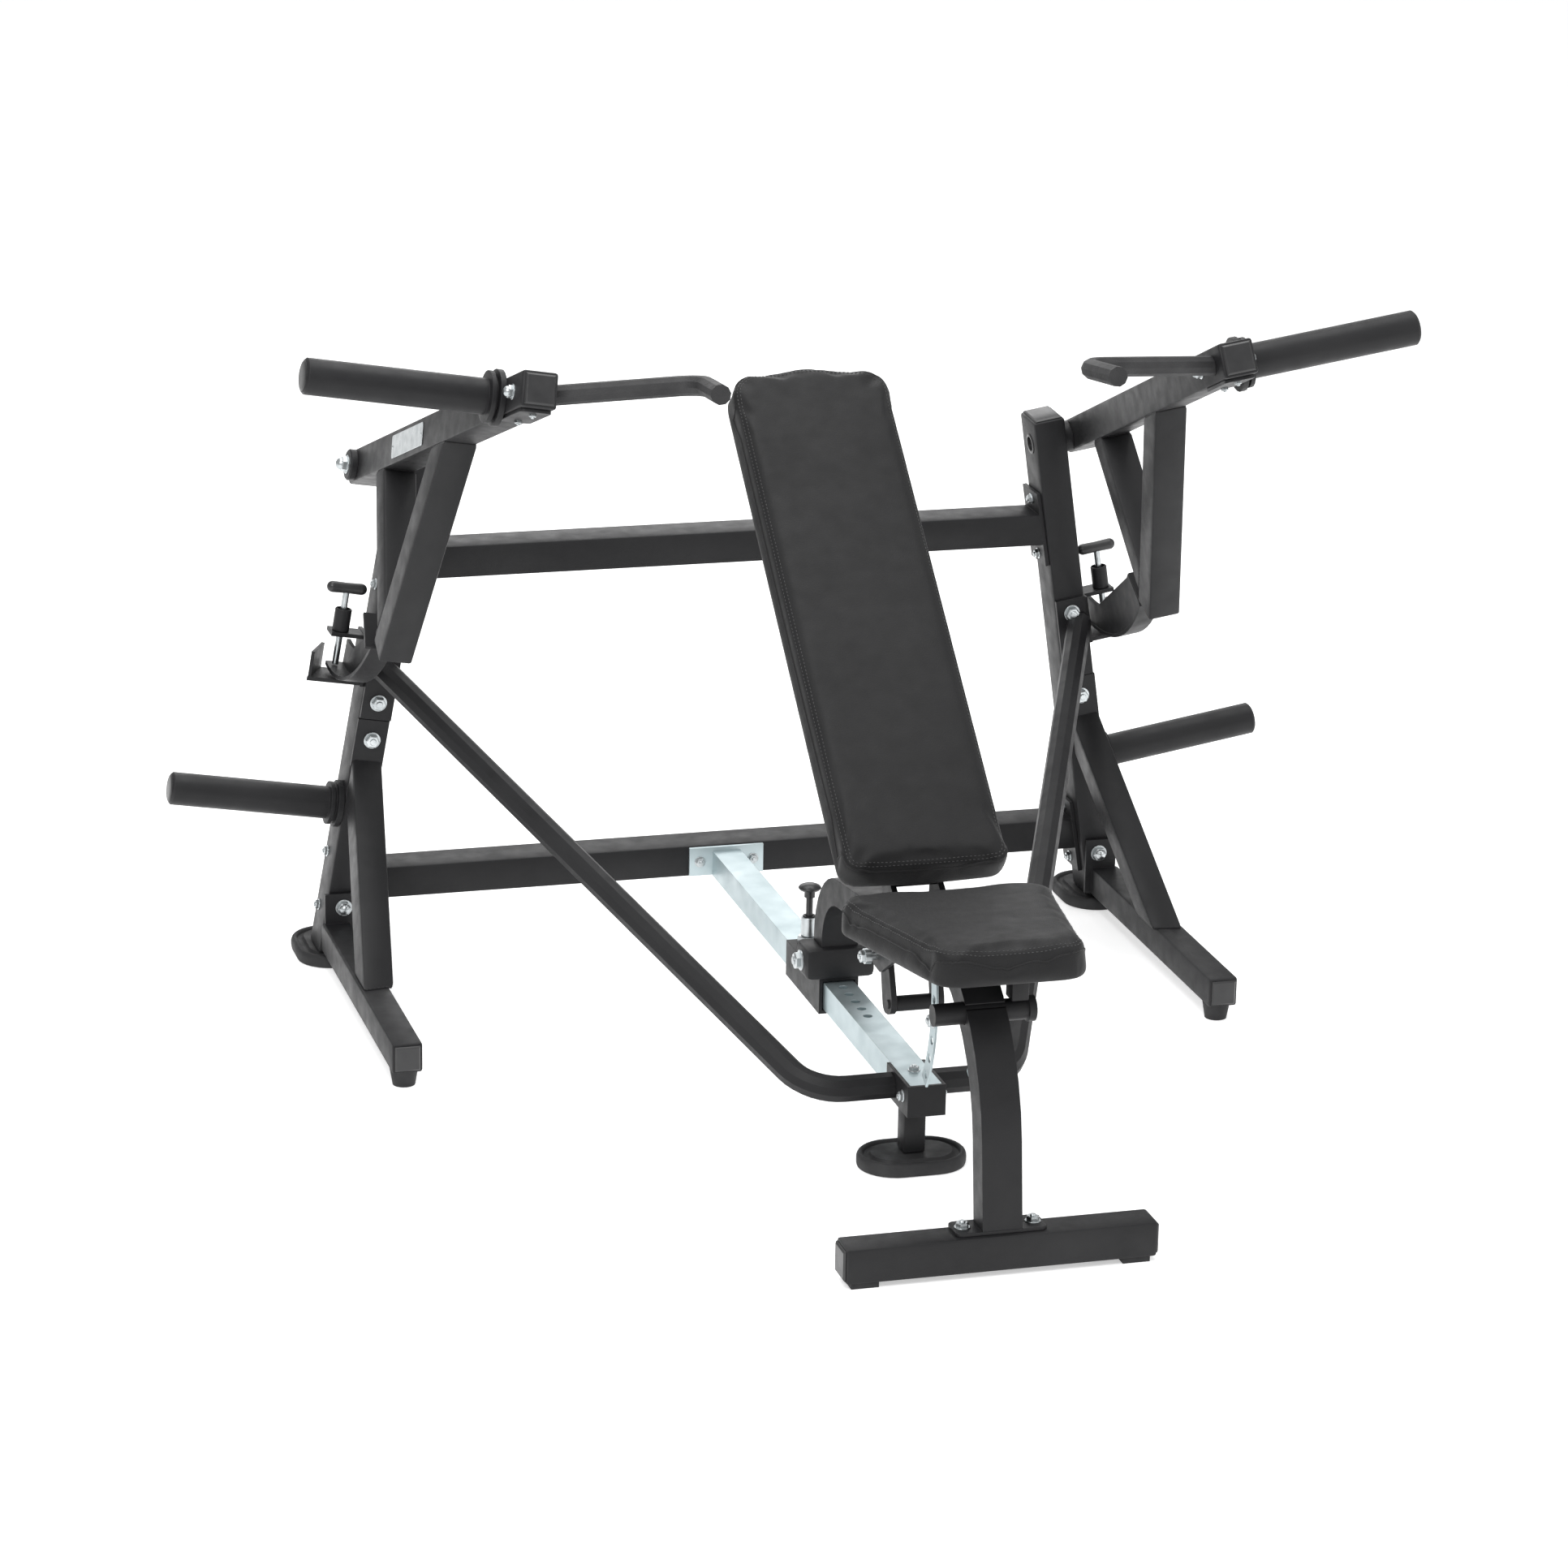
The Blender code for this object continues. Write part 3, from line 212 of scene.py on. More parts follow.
LOOKS = {
    "powder_coat": finish_look(
        "powder_coat", ((0.010, 0.010, 0.011), (0.017, 0.017, 0.018)), ("noise", 5.0), (0.40, 0.54),
        [("noise", 1100.0, 0.55, 0.0003), ("noise", 260.0, 0.25, 0.0003)], 0.0014, (0.045, 0.045, 0.047),
        {"Specular IOR Level": 0.25}),
    "upholstery": finish_look(
        "upholstery", ((0.008, 0.008, 0.0085), (0.012, 0.012, 0.0125)), ("noise", 7.0), (0.50, 0.62),
        [("noise", 42.0, 0.25, 0.0012), ("cells", 620.0, 0.55, 0.0004), ("noise", 1500.0, 0.3, 0.0002)],
        0.002, (0.022, 0.022, 0.023),
        {"Sheen Weight": 0.03, "Sheen Roughness": 0.5, "Specular IOR Level": 0.22}),
    "thread": finish_look(
        "thread", ((0.020, 0.020, 0.021), (0.034, 0.034, 0.035)), ("noise", 90.0), (0.6, 0.75),
        [("brushed", 2400.0, 0.5, 0.0001)], 0.0002, (0.1, 0.1, 0.1), {"Sheen Weight": 0.3}),
    "rubber": finish_look(
        "rubber", ((0.014, 0.014, 0.015), (0.026, 0.026, 0.027)), ("noise", 22.0), (0.58, 0.80),
        [("noise", 900.0, 0.4, 0.0002)], 0.0012, (0.05, 0.05, 0.05), {"Specular IOR Level": 0.4}),
    "grip": finish_look(
        "grip", ((0.016, 0.016, 0.017), (0.028, 0.028, 0.029)), ("noise", 30.0), (0.55, 0.72),
        [("cells", 520.0, 0.7, 0.0005), ("noise", 1400.0, 0.3, 0.0002)], 0.001, (0.045, 0.045, 0.045),
        {"Specular IOR Level": 0.4}),
    "galvanised": finish_look(
        "galvanised", ((0.40, 0.48, 0.50), (0.50, 0.58, 0.60)), ("noise", 14.0), (0.34, 0.48),
        [("brushed", 420.0, 0.25, 0.0002)], 0.001, (0.72, 0.76, 0.78), {"Metallic": 0.75}),
    "zinc": finish_look(
        "zinc", ((0.42, 0.45, 0.46), (0.60, 0.63, 0.64)), ("noise", 60.0), (0.24, 0.40),
        [("brushed", 900.0, 0.25, 0.0001)], 0.0006, (0.80, 0.82, 0.83), {"Metallic": 1.0}),
    "black_plastic": finish_look(
        "black_plastic", ((0.015, 0.015, 0.016), (0.024, 0.024, 0.025)), ("noise", 40.0), (0.30, 0.42),
        [("noise", 1300.0, 0.4, 0.00015)], 0.0008, (0.045, 0.045, 0.045), {"Specular IOR Level": 0.5}),
}


def smoothing():
    """A geometry group that welds a node's faces and smooths them across shallow angles."""
    group = bpy.data.node_groups.new("smoothing", "GeometryNodeTree")
    group.interface.new_socket("Geometry", in_out="INPUT", socket_type="NodeSocketGeometry")
    group.interface.new_socket("Geometry", in_out="OUTPUT", socket_type="NodeSocketGeometry")
    shape = add_node(group, "NodeGroupInput", {}).outputs[0]
    shape = add_node(group, "GeometryNodeMergeByDistance", {"Geometry": shape, "Distance": 2e-5}).outputs[0]
    shape = add_node(group, "GeometryNodeRemoveAttribute",
                     {"Geometry": shape, "Name": "custom_normal"}).outputs[0]
    shape = add_node(group, "GeometryNodeSetShadeSmooth", {"Geometry": shape}, domain="FACE").outputs[0]
    angle = add_node(group, "GeometryNodeInputMeshEdgeAngle", {}).outputs["Unsigned Angle"]
    steep = add_node(group, "ShaderNodeMath", {0: angle, 1: radians(31)}, operation="GREATER_THAN")
    shape = add_node(group, "GeometryNodeSetShadeSmooth",
                     {"Geometry": shape, "Selection": steep.outputs[0], "Shade Smooth": False},
                     domain="EDGE").outputs[0]
    group.links.new(shape, add_node(group, "NodeGroupOutput", {}).inputs[0])
    return group


def dress_nodes():
    """Every CAD node gets the finish of its slot; the hand grips get their own."""
    smooth = smoothing()
    for part in frame["record"]["subparts"]:
        name = part["node"]
        look = "grip" if name.startswith("handle_") else part["material_slot"]
        obj = frame["nodes"][name]
        for slot in obj.material_slots:
            slot.material = LOOKS[look]
        obj.modifiers.new("smoothing", "NODES").node_group = smooth


# Mesh helpers ---------------------------------------------------------------------------------------
def loft(bm, rings, caps=True, closed=False):
    """Skin between rings of points; a ring of one point is a tip."""
    rows = [[bm.verts.new(point) for point in ring] for ring in rings]
    pairs = list(zip(rows, rows[1:]))
    if closed:
        pairs.append((rows[-1], rows[0]))
    for one, two in pairs:
        count = max(len(one), len(two))
        for i in range(count):
            j = (i + 1) % count
            if len(one) == 1:
                bm.faces.new((one[0], two[i], two[j]))
            elif len(two) == 1:
                bm.faces.new((one[i], two[0], one[j]))
            else:
                bm.faces.new((one[i], two[i], two[j], one[j]))
    if caps and not closed:
        for row in (rows[0], rows[-1]):
            if len(row) > 2:
                bm.faces.new(row)


def revolve(bm, profile, place, sides=32, closed=False):
    rings = []
    for radius, z in profile:
        if radius < 1e-7:
            rings.append([place @ Vector((0.0, 0.0, z))])
            continue
        angles = [2 * pi * i / sides for i in range(sides)]
        rings.append([place @ Vector((radius * cos(a), radius * sin(a), z)) for a in angles])
    loft(bm, rings, caps=False, closed=closed)


def rounded_rectangle(width, height, radius, steps=5):
    points = []
    for cx, cy, start in ((1, 1, 0), (-1, 1, pi / 2), (-1, -1, pi), (1, -1, 1.5 * pi)):
        middle = (cx * (width / 2 - radius), cy * (height / 2 - radius))
        for step in range(steps + 1):
            a = start + pi / 2 * step / steps
            points.append((middle[0] + radius * cos(a), middle[1] + radius * sin(a)))
    return points


def plate(bm, width, height, thickness, radius, place, edge=0.0006):
    """A flat plate with rounded corners and softened edges, standing on z = 0."""
    rings = []
    for inset, z in ((edge, 0.0), (0.0, edge), (0.0, thickness - edge), (edge, thickness)):
        outline = rounded_rectangle(width - 2 * inset, height - 2 * inset, radius)
        rings.append([place @ Vector((x, y, z)) for x, y in outline])
    loft(bm, rings)


def bolt(bm, place, size, domed=False, washer=True):
    """A hexagon head or nut on its washer, or a domed nut, standing on z = 0."""
    base = 0.0
    if washer:
        base = 0.16 * size
        rim = 1.08 * size
        revolve(bm, [(0.0, base), (rim - 0.0004, base), (rim, base - 0.0004), (rim, 0.0), (0.0, 0.0)], place)
    corner, head = 0.90 * size, base + 0.62 * size
    hexagon = [(0.0, head), (0.84 * corner, head), (corner, head - 0.10 * size), (corner, base), (0.0, base)]
    revolve(bm, hexagon, place, sides=6)
    if domed:
        ball = 0.72 * size
        foot = head - 0.0003
        turns = [radians(d) for d in range(0, 91, 15)]
        dome = [(ball * sin(a), foot + 0.85 * ball * cos(a)) for a in turns]
        revolve(bm, dome + [(0.0, foot)], place, sides=28)
    else:
        end = 0.42 * size
        tip = head + 0.0022
        stud = [(0.0, tip), (end - 0.0006, tip), (end, head + 0.0014), (end, head), (0.0, head)]
        revolve(bm, stud, place, sides=20)


def frames_along(path, closed):
    """(point, side, lift) along a path, with the sides carried along smoothly."""
    count = len(path)
    made, side = [], None
    for i, point in enumerate(path):
        before = path[(i - 1) % count] if closed or i else point
        after = path[(i + 1) % count] if closed or i < count - 1 else point
        along = (after - before).normalized()
        if side is None:
            side = along.orthogonal()
        side = (side - along * side.dot(along)).normalized()
        made.append((point, side, along.cross(side)))
    return made


def sweep(bm, path, radius, sides=8, closed=False):
    """A round bead along a path; radius is a number or a function of the point's index."""
    rings = []
    for i, (point, side, lift) in enumerate(frames_along(path, closed)):
        r = radius(i) if callable(radius) else radius
        angles = [2 * pi * k / sides for k in range(sides)]
        rings.append([point + (side * cos(a) + lift * sin(a)) * r for a in angles])
    loft(bm, rings, caps=not closed, closed=closed)


def resampled(loop, spacing):
    """Points at even spacing round a closed loop."""
    count = len(loop)
    lengths = [(loop[(i + 1) % count] - loop[i]).length for i in range(count)]
    total = sum(lengths)
    wanted = max(8, round(total / spacing))
    points, i, passed = [], 0, 0.0
    for k in range(wanted):
        target = total * k / wanted
        while passed + lengths[i] < target:
            passed += lengths[i]
            i += 1
        share = (target - passed) / lengths[i]
        points.append(loop[i].lerp(loop[(i + 1) % count], share))
    return points


def face_loop(node, direction):
    """The outline of a CAD node's flat face that lies furthest along this direction."""
    bm = bmesh.new()
    bm.from_mesh(frame["nodes"][node].data)
    bmesh.ops.remove_doubles(bm, verts=bm.verts, dist=2e-5)
    bm.verts.index_update()
    bm.normal_update()
    facing = [f for f in bm.faces if f.normal.dot(direction) > 0.985]
    reach = max(f.calc_center_median().dot(direction) for f in facing)
    normal = max(facing, key=lambda f: f.calc_center_median().dot(direction)).normal
    flat = {f for f in facing if f.normal.dot(normal) > 0.9999
            and f.calc_center_median().dot(direction) > reach - 0.012}
    following = {}
    for face in flat:
        for corner in face.loops:
            if sum(other in flat for other in corner.edge.link_faces) == 1:
                following[corner.vert.index] = corner.link_loop_next.vert
    bm.verts.ensure_lookup_table()
    first = next(iter(following))
    loop, at = [], first
    while at in following:
        vertex = following.pop(at)
        loop.append(vertex.co.copy())
        at = vertex.index
    result = normal.copy()
    bm.free()
    return loop, result


def piece(name, bm, body, look, sharp=32):
    bmesh.ops.recalc_face_normals(bm, faces=bm.faces)
    mesh = bpy.data.meshes.new(name)
    bm.to_mesh(mesh)
    bm.free()
    return dressed(bpy.data.objects.new(name, mesh), body, look, sharp)


def dressed(obj, body, look, sharp):
    obj.data.polygons.foreach_set("use_smooth", [True] * len(obj.data.polygons))
    obj.data.set_sharp_from_angle(angle=radians(sharp))
    obj.data.materials.clear()
    obj.data.materials.append(LOOKS[look])
    if obj.name not in bpy.context.scene.collection.objects:
        bpy.context.scene.collection.objects.link(obj)
    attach(obj, body)
    return obj


# Fasteners ------------------------------------------------------------------------------------------
def tower_fasteners(name, side):
    """Bolts through the brace, floor tube and crossbar flanges, and the plug in the pivot's bore."""
    tower = tower_matrix(side)
    bm = bmesh.new()
    lean = Matrix.Rotation(atan2(UPRIGHT_RAKE, 1.0), 4, "X")
    for height in BRACE_BOLTS:
        spot = Matrix.Translation((side * UPRIGHT_X, -upright_front(height) - FLANGE - GAP, height))
        bolt(bm, tower @ spot @ lean @ TO_FRONT, M12)
    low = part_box("floor_tube_" + name)[1].y - FLANGE
    across, height = FLOOR_TUBE_BOLT
    bolt(bm, Matrix.Translation((side * across, low, height)) @ TO_FRONT, M12, domed=True)
    inner = UPRIGHT_X - TUBE / 2 - FLANGE - GAP
    outer = UPRIGHT_X + TUBE / 2
    for distance, height in FLANGE_BOLTS:
        inside = Matrix.Translation((side * inner, -distance, height))
        bolt(bm, tower @ inside @ to_side(-side), M8)
        outside = Matrix.Translation((side * outer, -distance, height))
        bolt(bm, tower @ outside @ to_side(side), M8)
    piece("tower_bolts_" + name, bm, "frame", "zinc")
    mouth = Matrix.Translation((side * (UPRIGHT_X - TUBE / 2), -PIVOT[0], PIVOT[1]))
    rim = bmesh.new()
    revolve(rim, [(0.0, -0.0030), (0.0112, -0.0030), (0.0112, 0.0008), (0.0120, 0.0016), (0.0150, 0.0016),
                  (0.0160, 0.0010), (0.0160, 0.0001), (0.0120, 0.0001), (0.0120, -0.0040), (0.0, -0.0040)],
            tower @ mouth @ to_side(-side))
    piece("bore_plug_" + name, rim, "frame", "black_plastic")


def arm_fasteners(name, side):
    """Pivot boss and nut, the grip's and sleeve's nuts, and the plate bolted under the arm's end."""
    arm = arm_matrix(side)
    bm = bmesh.new()
    outer = arm @ Matrix.Translation((side * TUBE / 2, 0.0, 0.0)) @ to_side(side)
    boss = bmesh.new()
    disc = [(0.0, BOSS_HEIGHT), (0.0215, BOSS_HEIGHT), (0.0235, 0.009), (0.0235, 0.0002), (0.0, 0.0002)]
    revolve(boss, disc, outer, sides=40)
    piece("pivot_boss_" + name, boss, "arm_" + name, "powder_coat")
    bolt(bm, outer @ Matrix.Translation((0.0, 0.0, BOSS_HEIGHT)), 0.013, domed=True)
    for distance, toward in ((HANDLE_AHEAD, side), (SLEEVE_AHEAD, -side)):
        spot = along_arm(distance)
        spot.x = toward * TUBE / 2
        bolt(bm, arm @ Matrix.Translation(spot) @ to_side(toward), M10, domed=True)
    piece("arm_bolts_" + name, bm, "arm_" + name, "zinc")

    under = bmesh.new()
    pitched = Matrix.Rotation(pi - ARM_PITCH, 4, "X")
    place = arm @ Matrix.Translation(along_arm(ARM_END_AHEAD, -TUBE / 2)) @ pitched
    width, length, thickness = ARM_END_PLATE
    plate(under, width, length, thickness, 0.008, place)
    piece("arm_end_plate_" + name, under, "arm_" + name, "powder_coat")
    heads = bmesh.new()
    for shift in (-0.034, 0.034):
        bolt(heads, place @ Matrix.Translation((0.0, shift, thickness)), 0.006, washer=False)
    piece("arm_end_plate_bolts_" + name, heads, "arm_" + name, "zinc")


def bench_fasteners():
    """Bolts of the beam's foot, hinge and cross foot, the plate under the leg, and the knob's collar."""
    bm = bmesh.new()
    low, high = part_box("pivot_block")
    thickness = 0.005
    for side in SIDES.values():
        block = Matrix.Translation((side * high.x, (low.y + high.y) / 2, (low.z + high.z) / 2))
        bolt(bm, block @ to_side(side), 0.014)
        foot = Matrix.Translation((side * 0.049, ahead(FOOT_PLATE_AHEAD), FOOT_PLATE_BASE + thickness))
        bolt(bm, foot, M10)
        hinge = Matrix.Translation((side * HINGE_END, ahead(HINGE[0]), HINGE[1]))
        bolt(bm, hinge @ to_side(side), M10, washer=False)
    piece("bench_bolts", bm, "bench", "zinc")
    base = bmesh.new()
    spot = Matrix.Translation((0.0, ahead(FOOT_PLATE_AHEAD), FOOT_PLATE_BASE))
    plate(base, 0.126, 0.046, thickness, 0.008, spot)
    piece("bench_plates", base, "bench", "powder_coat")
    collar = bmesh.new()
    knob = Matrix.Translation((0.0, ahead(COLLAR_AHEAD), CARRIAGE_TOP))
    barrel = [(0.0112, 0.0405), (0.0118, 0.0398), (0.0118, 0.012), (0.0098, 0.012), (0.0098, 0.0405)]
    revolve(collar, barrel, knob, closed=True)
    nut = [(0.0165, 0.0110), (0.0175, 0.0100), (0.0175, 0.0005), (0.0098, 0.0005), (0.0098, 0.0110)]
    revolve(collar, nut, knob, sides=6, closed=True)
    piece("knob_collar", collar, "bench", "zinc")


def rail_fasteners():
    """Bolts of the rail's rear plate and of its front bracket."""
    bm = bmesh.new()
    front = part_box("rail_plate")[0].y
    for side in SIDES.values():
        bolt(bm, Matrix.Translation((side * 0.043, front, 0.123)) @ TO_FRONT, M8)
        bolt(bm, Matrix.Translation((side * 0.0275, ahead(1.172), 0.118)) @ to_side(side), M8)
    bolt(bm, Matrix.Translation((0.0, ahead(1.134), 0.139)), M8)
    piece("rail_bolts", bm, "frame", "zinc")


def pin_collars(name, side):
    """The pull pin's barrel on its tray, and its T grip."""
    tower = tower_matrix(side)
    bm = bmesh.new()
    behind = upright_front(TRAY_TOP) - 0.040
    place = tower @ Matrix.Translation((side * STOP_X, -behind, TRAY_TOP))
    revolve(bm, [(0.0118, 0.0350), (0.0128, 0.0338), (0.0128, 0.0010), (0.0107, 0.0010), (0.0107, 0.0350)],
            place, closed=True)
    piece("pin_collar_" + name, bm, "frame", "powder_coat")
    grip = bmesh.new()
    half, radius = 0.031, 0.0088
    end = [(radius * sin(radians(d)), half - radius * (1.0 - cos(radians(d)))) for d in range(0, 91, 15)]
    bar = end + [(radius * 0.93, 0.0)] + [(r, -z) for r, z in reversed(end)]
    revolve(grip, bar, place @ Matrix.Translation((0.0, 0.0, 0.067)) @ ACROSS)
    piece("pin_grip_" + name, grip, "pin_" + name, "black_plastic")


def seat_and_back_fasteners():
    """The bolt through the adjuster strips, the latch rod and the heads behind the back pad."""
    bm = bmesh.new()
    angle = radians(-5)
    spot = (ahead(HINGE[0] + STRIP_RADIUS * cos(angle)), HINGE[1] + STRIP_RADIUS * sin(angle))
    middle = Matrix.Translation((0.0, *spot)) @ ACROSS
    revolve(bm, [(0.0, 0.034), (0.0052, 0.034), (0.0052, -0.034), (0.0, -0.034)], middle, sides=20)
    for side in SIDES.values():
        bolt(bm, Matrix.Translation((side * 0.0336, *spot)) @ to_side(side), M10)
    piece("adjuster_bolt", bm, "seat", "zinc")
    rod = bmesh.new()
    place = Matrix.Translation((0.0, ahead(HINGE[0] + 0.030), HINGE[1] - 0.062)) @ ACROSS
    revolve(rod, [(0.0, 0.0405), (0.0060, 0.0405), (0.0066, 0.0395), (0.0066, -0.0395), (0.0060, -0.0405),
                  (0.0, -0.0405)], place, sides=24)
    spacer = [(0.0110, 0.0290), (0.0110, -0.0290), (0.0067, -0.0290), (0.0067, 0.0290)]
    revolve(rod, spacer, place, closed=True)
    piece("latch_rod", rod, "back", "powder_coat")
    heads = bmesh.new()
    pad = back_matrix()
    for along in (0.085, 0.300, 0.520):
        behind = Matrix.Translation((0.0, along, -0.0804)) @ Matrix.Rotation(pi, 4, "X")
        bolt(heads, pad @ behind, M10)
    piece("back_frame_bolts", heads, "back", "zinc")


# Caps, welds, feet and badge ------------------------------------------------------------------------
def end_cap(bm, node, direction, swell=0.0035):
    """A moulded insert over the end of a tube, from the tube's own end face."""
    loop, normal = face_loop(node, direction)
    middle = sum(loop, Vector()) / len(loop)
    rings = [[middle + (p - middle) * scale + normal * rise for p in loop]
             for scale, rise in ((1.0, 0.0002), (1.0, 0.0012), (0.965, 0.6 * swell), (0.88, swell))]
    loft(bm, rings)


def end_caps():
    for name, side in SIDES.items():
        arm = arm_matrix(side).to_3x3()
        forward = arm @ along_arm(1.0)
        bm = bmesh.new()
        for direction in (forward, -forward):
            end_cap(bm, "arm_tube_" + name, direction)
        piece("arm_caps_" + name, bm, "arm_" + name, "black_plastic")
        bm = bmesh.new()
        end_cap(bm, "upright_" + name, tower_matrix(side).to_3x3() @ UP)
        end_cap(bm, "floor_tube_" + name, FORWARD)
        piece("tower_caps_" + name, bm, "frame", "black_plastic")
    bm = bmesh.new()
    for side in SIDES.values():
        end_cap(bm, "cross_foot", Vector((side, 0, 0)))
    piece("cross_foot_caps", bm, "bench", "black_plastic")


def weld(bm, loop):
    """A rippled bead round a joint."""
    path = resampled(loop, 0.0022)
    sweep(bm, path, lambda i: WELD_RADIUS * (1.0 + 0.16 * sin(i * 2.1)), sides=6, closed=True)


def welds():
    for name, side in SIDES.items():
        arm = arm_matrix(side).to_3x3()
        above = arm @ along_arm(0.0, 1.0)
        along = Vector((STRUT_HEAD[0] - STRUT_FOOT[0], STRUT_HEAD[1] - STRUT_FOOT[1])).normalized()
        bm = bmesh.new()
        weld(bm, face_loop("arm_front_strut_" + name, above)[0])
        weld(bm, face_loop("arm_rear_strut_" + name, above)[0])
        weld(bm, face_loop("arm_rear_strut_" + name, arm @ Vector((0.0, -along.y, -along.x)))[0])
        piece("arm_welds_" + name, bm, "arm_" + name, "powder_coat", sharp=80)
        bm = bmesh.new()
        weld(bm, face_loop("tower_brace_" + name, DOWN)[0])
        piece("tower_welds_" + name, bm, "frame", "powder_coat", sharp=80)
    bm = bmesh.new()
    weld(bm, face_loop("centre_post", UP)[0])
    piece("post_weld", bm, "frame", "powder_coat", sharp=80)


def stadium(length, width, inset, steps=16):
    half, radius = (length - width) / 2, width / 2 - inset
    points = []
    for centre, start in ((half, -pi / 2), (-half, pi / 2)):
        for step in range(steps + 1):
            a = start + pi * step / steps
            points.append((centre + radius * cos(a), radius * sin(a)))
    return points


def oval_foot(name, node, turned_by):
    """Moulded foot: bulging wall, rolled rim, shallow moat and a raised bed for the post."""
    low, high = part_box(node)
    place = Matrix.Translation(((low.x + high.x) / 2, (low.y + high.y) / 2, 0.0))
    place = place @ Matrix.Rotation(turned_by, 4, "Z")
    bm = bmesh.new()
    section = [(0.004, 0.0), (0.001, 0.0012), (0.0, 0.006), (0.0, 0.013), (0.0015, 0.0175), (0.004, 0.0198),
               (0.0070, 0.0198), (0.0090, 0.0180), (0.0100, 0.0150), (0.0160, 0.0145), (0.0180, 0.0165),
               (0.0195, 0.0198)]
    rings = [[place @ Vector((x, y, z)) for x, y in stadium(0.156, 0.106, inset)] for inset, z in section]
    loft(bm, rings)
    made = piece(name, bm, "frame", "rubber", sharp=50)
    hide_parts(node)


def feet():
    for name in SIDES:
        oval_foot("moulded_foot_" + name, "rear_foot_" + name, pi / 2)
    oval_foot("moulded_foot_centre", "centre_foot", 0.0)


def badge():
    """A blank plate with two rivets on the left arm's outer face."""
    arm = arm_matrix(-1)
    spot = along_arm(0.300)
    spot.x = -TUBE / 2
    turn = Matrix.Rotation(-ARM_PITCH, 4, "X") @ to_side(-1) @ Matrix.Rotation(pi / 2, 4, "Z")
    place = arm @ Matrix.Translation(spot) @ turn
    bm = bmesh.new()
    plate(bm, 0.165, 0.034, 0.0012, 0.004, place @ Matrix.Translation((0.0, 0.0, 0.0002)), edge=0.0004)
    for shift in (-0.077, 0.077):
        dome = [(0.0022 * sin(radians(d)), 0.0012 + 0.0012 * cos(radians(d))) for d in range(0, 91, 18)]
        revolve(bm, dome + [(0.0, 0.0012)], place @ Matrix.Translation((shift, 0.0, 0.0)), sides=18)
    piece("arm_badge", bm, "arm_left", "zinc")


def sleeve_details(name, side):
    """Plug in the end of each sleeve and storage horn."""
    arm = arm_matrix(side)
    base = along_arm(SLEEVE_AHEAD)
    base.x = side * (TUBE / 2 + GAP)
    horn = Matrix.Translation((side * (UPRIGHT_X + TUBE / 2 + GAP), -HORN[0], HORN[1]))
    for kind, place, length, body in (
            ("sleeve", arm @ Matrix.Translation(base) @ to_side(side), SLEEVE_REACH, "arm_" + name),
            ("horn", tower_matrix(side) @ horn @ to_side(side), HORN_REACH, "frame")):
        bm = bmesh.new()
        radius = SLEEVE_RADIUS - 0.004
        plug = [(0.0, length + 0.0024), (radius - 0.004, length + 0.0022), (radius - 0.001, length + 0.0012),
                (radius, length + 0.0002), (0.0, length + 0.0002)]
        revolve(bm, plug, place, sides=40)
        piece(kind + "_plug_" + name, bm, body, "black_plastic")


# Upholstery -----------------------------------------------------------------------------------------
def from_hinge(point):
    """A point given ahead and up, reached by way of the hinge."""
    hinge = Matrix.Translation((0.0, ahead(HINGE[0]), HINGE[1]))
    return hinge @ Matrix.Translation((0.0, -(point[0] - HINGE[0]), point[1] - HINGE[1]))


def back_matrix():
    """The back pad's face: x across, y up the pad, z out of it."""
    return from_hinge(BACK_FOOT) @ Matrix.Rotation(BACK_TILT, 4, "X")


def seat_matrix():
    """The seat pad's face in the same way, y toward the front."""
    flat = from_hinge(SEAT_REAR) @ Matrix.Rotation(pi - SEAT_TILT, 4, "X")
    return flat @ Matrix.Rotation(pi, 4, "Y")


def evaluated_mesh(obj):
    bpy.context.view_layer.update()
    shown = obj.evaluated_get(bpy.context.evaluated_depsgraph_get())
    return bpy.data.meshes.new_from_object(shown)


def with_modifier(obj, kind, **settings):
    """Adds a modifier and bakes it into the mesh."""
    modifier = obj.modifiers.new(kind.lower(), kind)
    for name, value in settings.items():
        setattr(modifier, name, value)
    mesh = evaluated_mesh(obj)
    obj.modifiers.clear()
    obj.data = mesh


def swell(obj, fixed, cap):
    """Inflates a pad as cloth under pressure, held at its board; no point moves further than cap."""
    start = [v.co.copy() for v in obj.data.vertices]
    group = obj.vertex_groups.new(name="board")
    group.add(fixed, 1.0, "REPLACE")
    cloth = obj.modifiers.new("cloth", "CLOTH")
    settings = cloth.settings
    settings.use_pressure = True
    settings.uniform_pressure_force = 4.0
    settings.vertex_group_mass = "board"
    settings.quality = 5
    settings.tension_stiffness = settings.compression_stiffness = 40.0
    settings.bending_stiffness = 8.0
    settings.effector_weights.gravity = 0.0
    for number in range(1, 21):
        bpy.context.scene.frame_set(number)
    mesh = evaluated_mesh(obj)
    obj.modifiers.clear()
    obj.vertex_groups.clear()
    obj.data = mesh
    for vertex, before in zip(mesh.vertices, start):
        moved = vertex.co - before
        if moved.length > cap:
            vertex.co = before + moved * (cap / moved.length)
    bpy.context.scene.frame_set(1)


def crown(obj, place, half_width, length, height):
    """Lifts the middle of the pad's face and lets it fall toward its edges."""
    inverse = place.inverted()
    up = place.to_3x3() @ UP
    for vertex in obj.data.vertices:
        local = inverse @ vertex.co
        across = max(0.0, 1.0 - (local.x / half_width) ** 2)
        along = max(0.0, 1.0 - ((local.y - length / 2) / (length / 2)) ** 4)
        face = max(0.0, min(1.0, 1.0 + local.z / 0.02))
        ripple = 0.0004 * noise.noise(vertex.co * 26.0)
        vertex.co += up * face * (height * across * along + ripple)


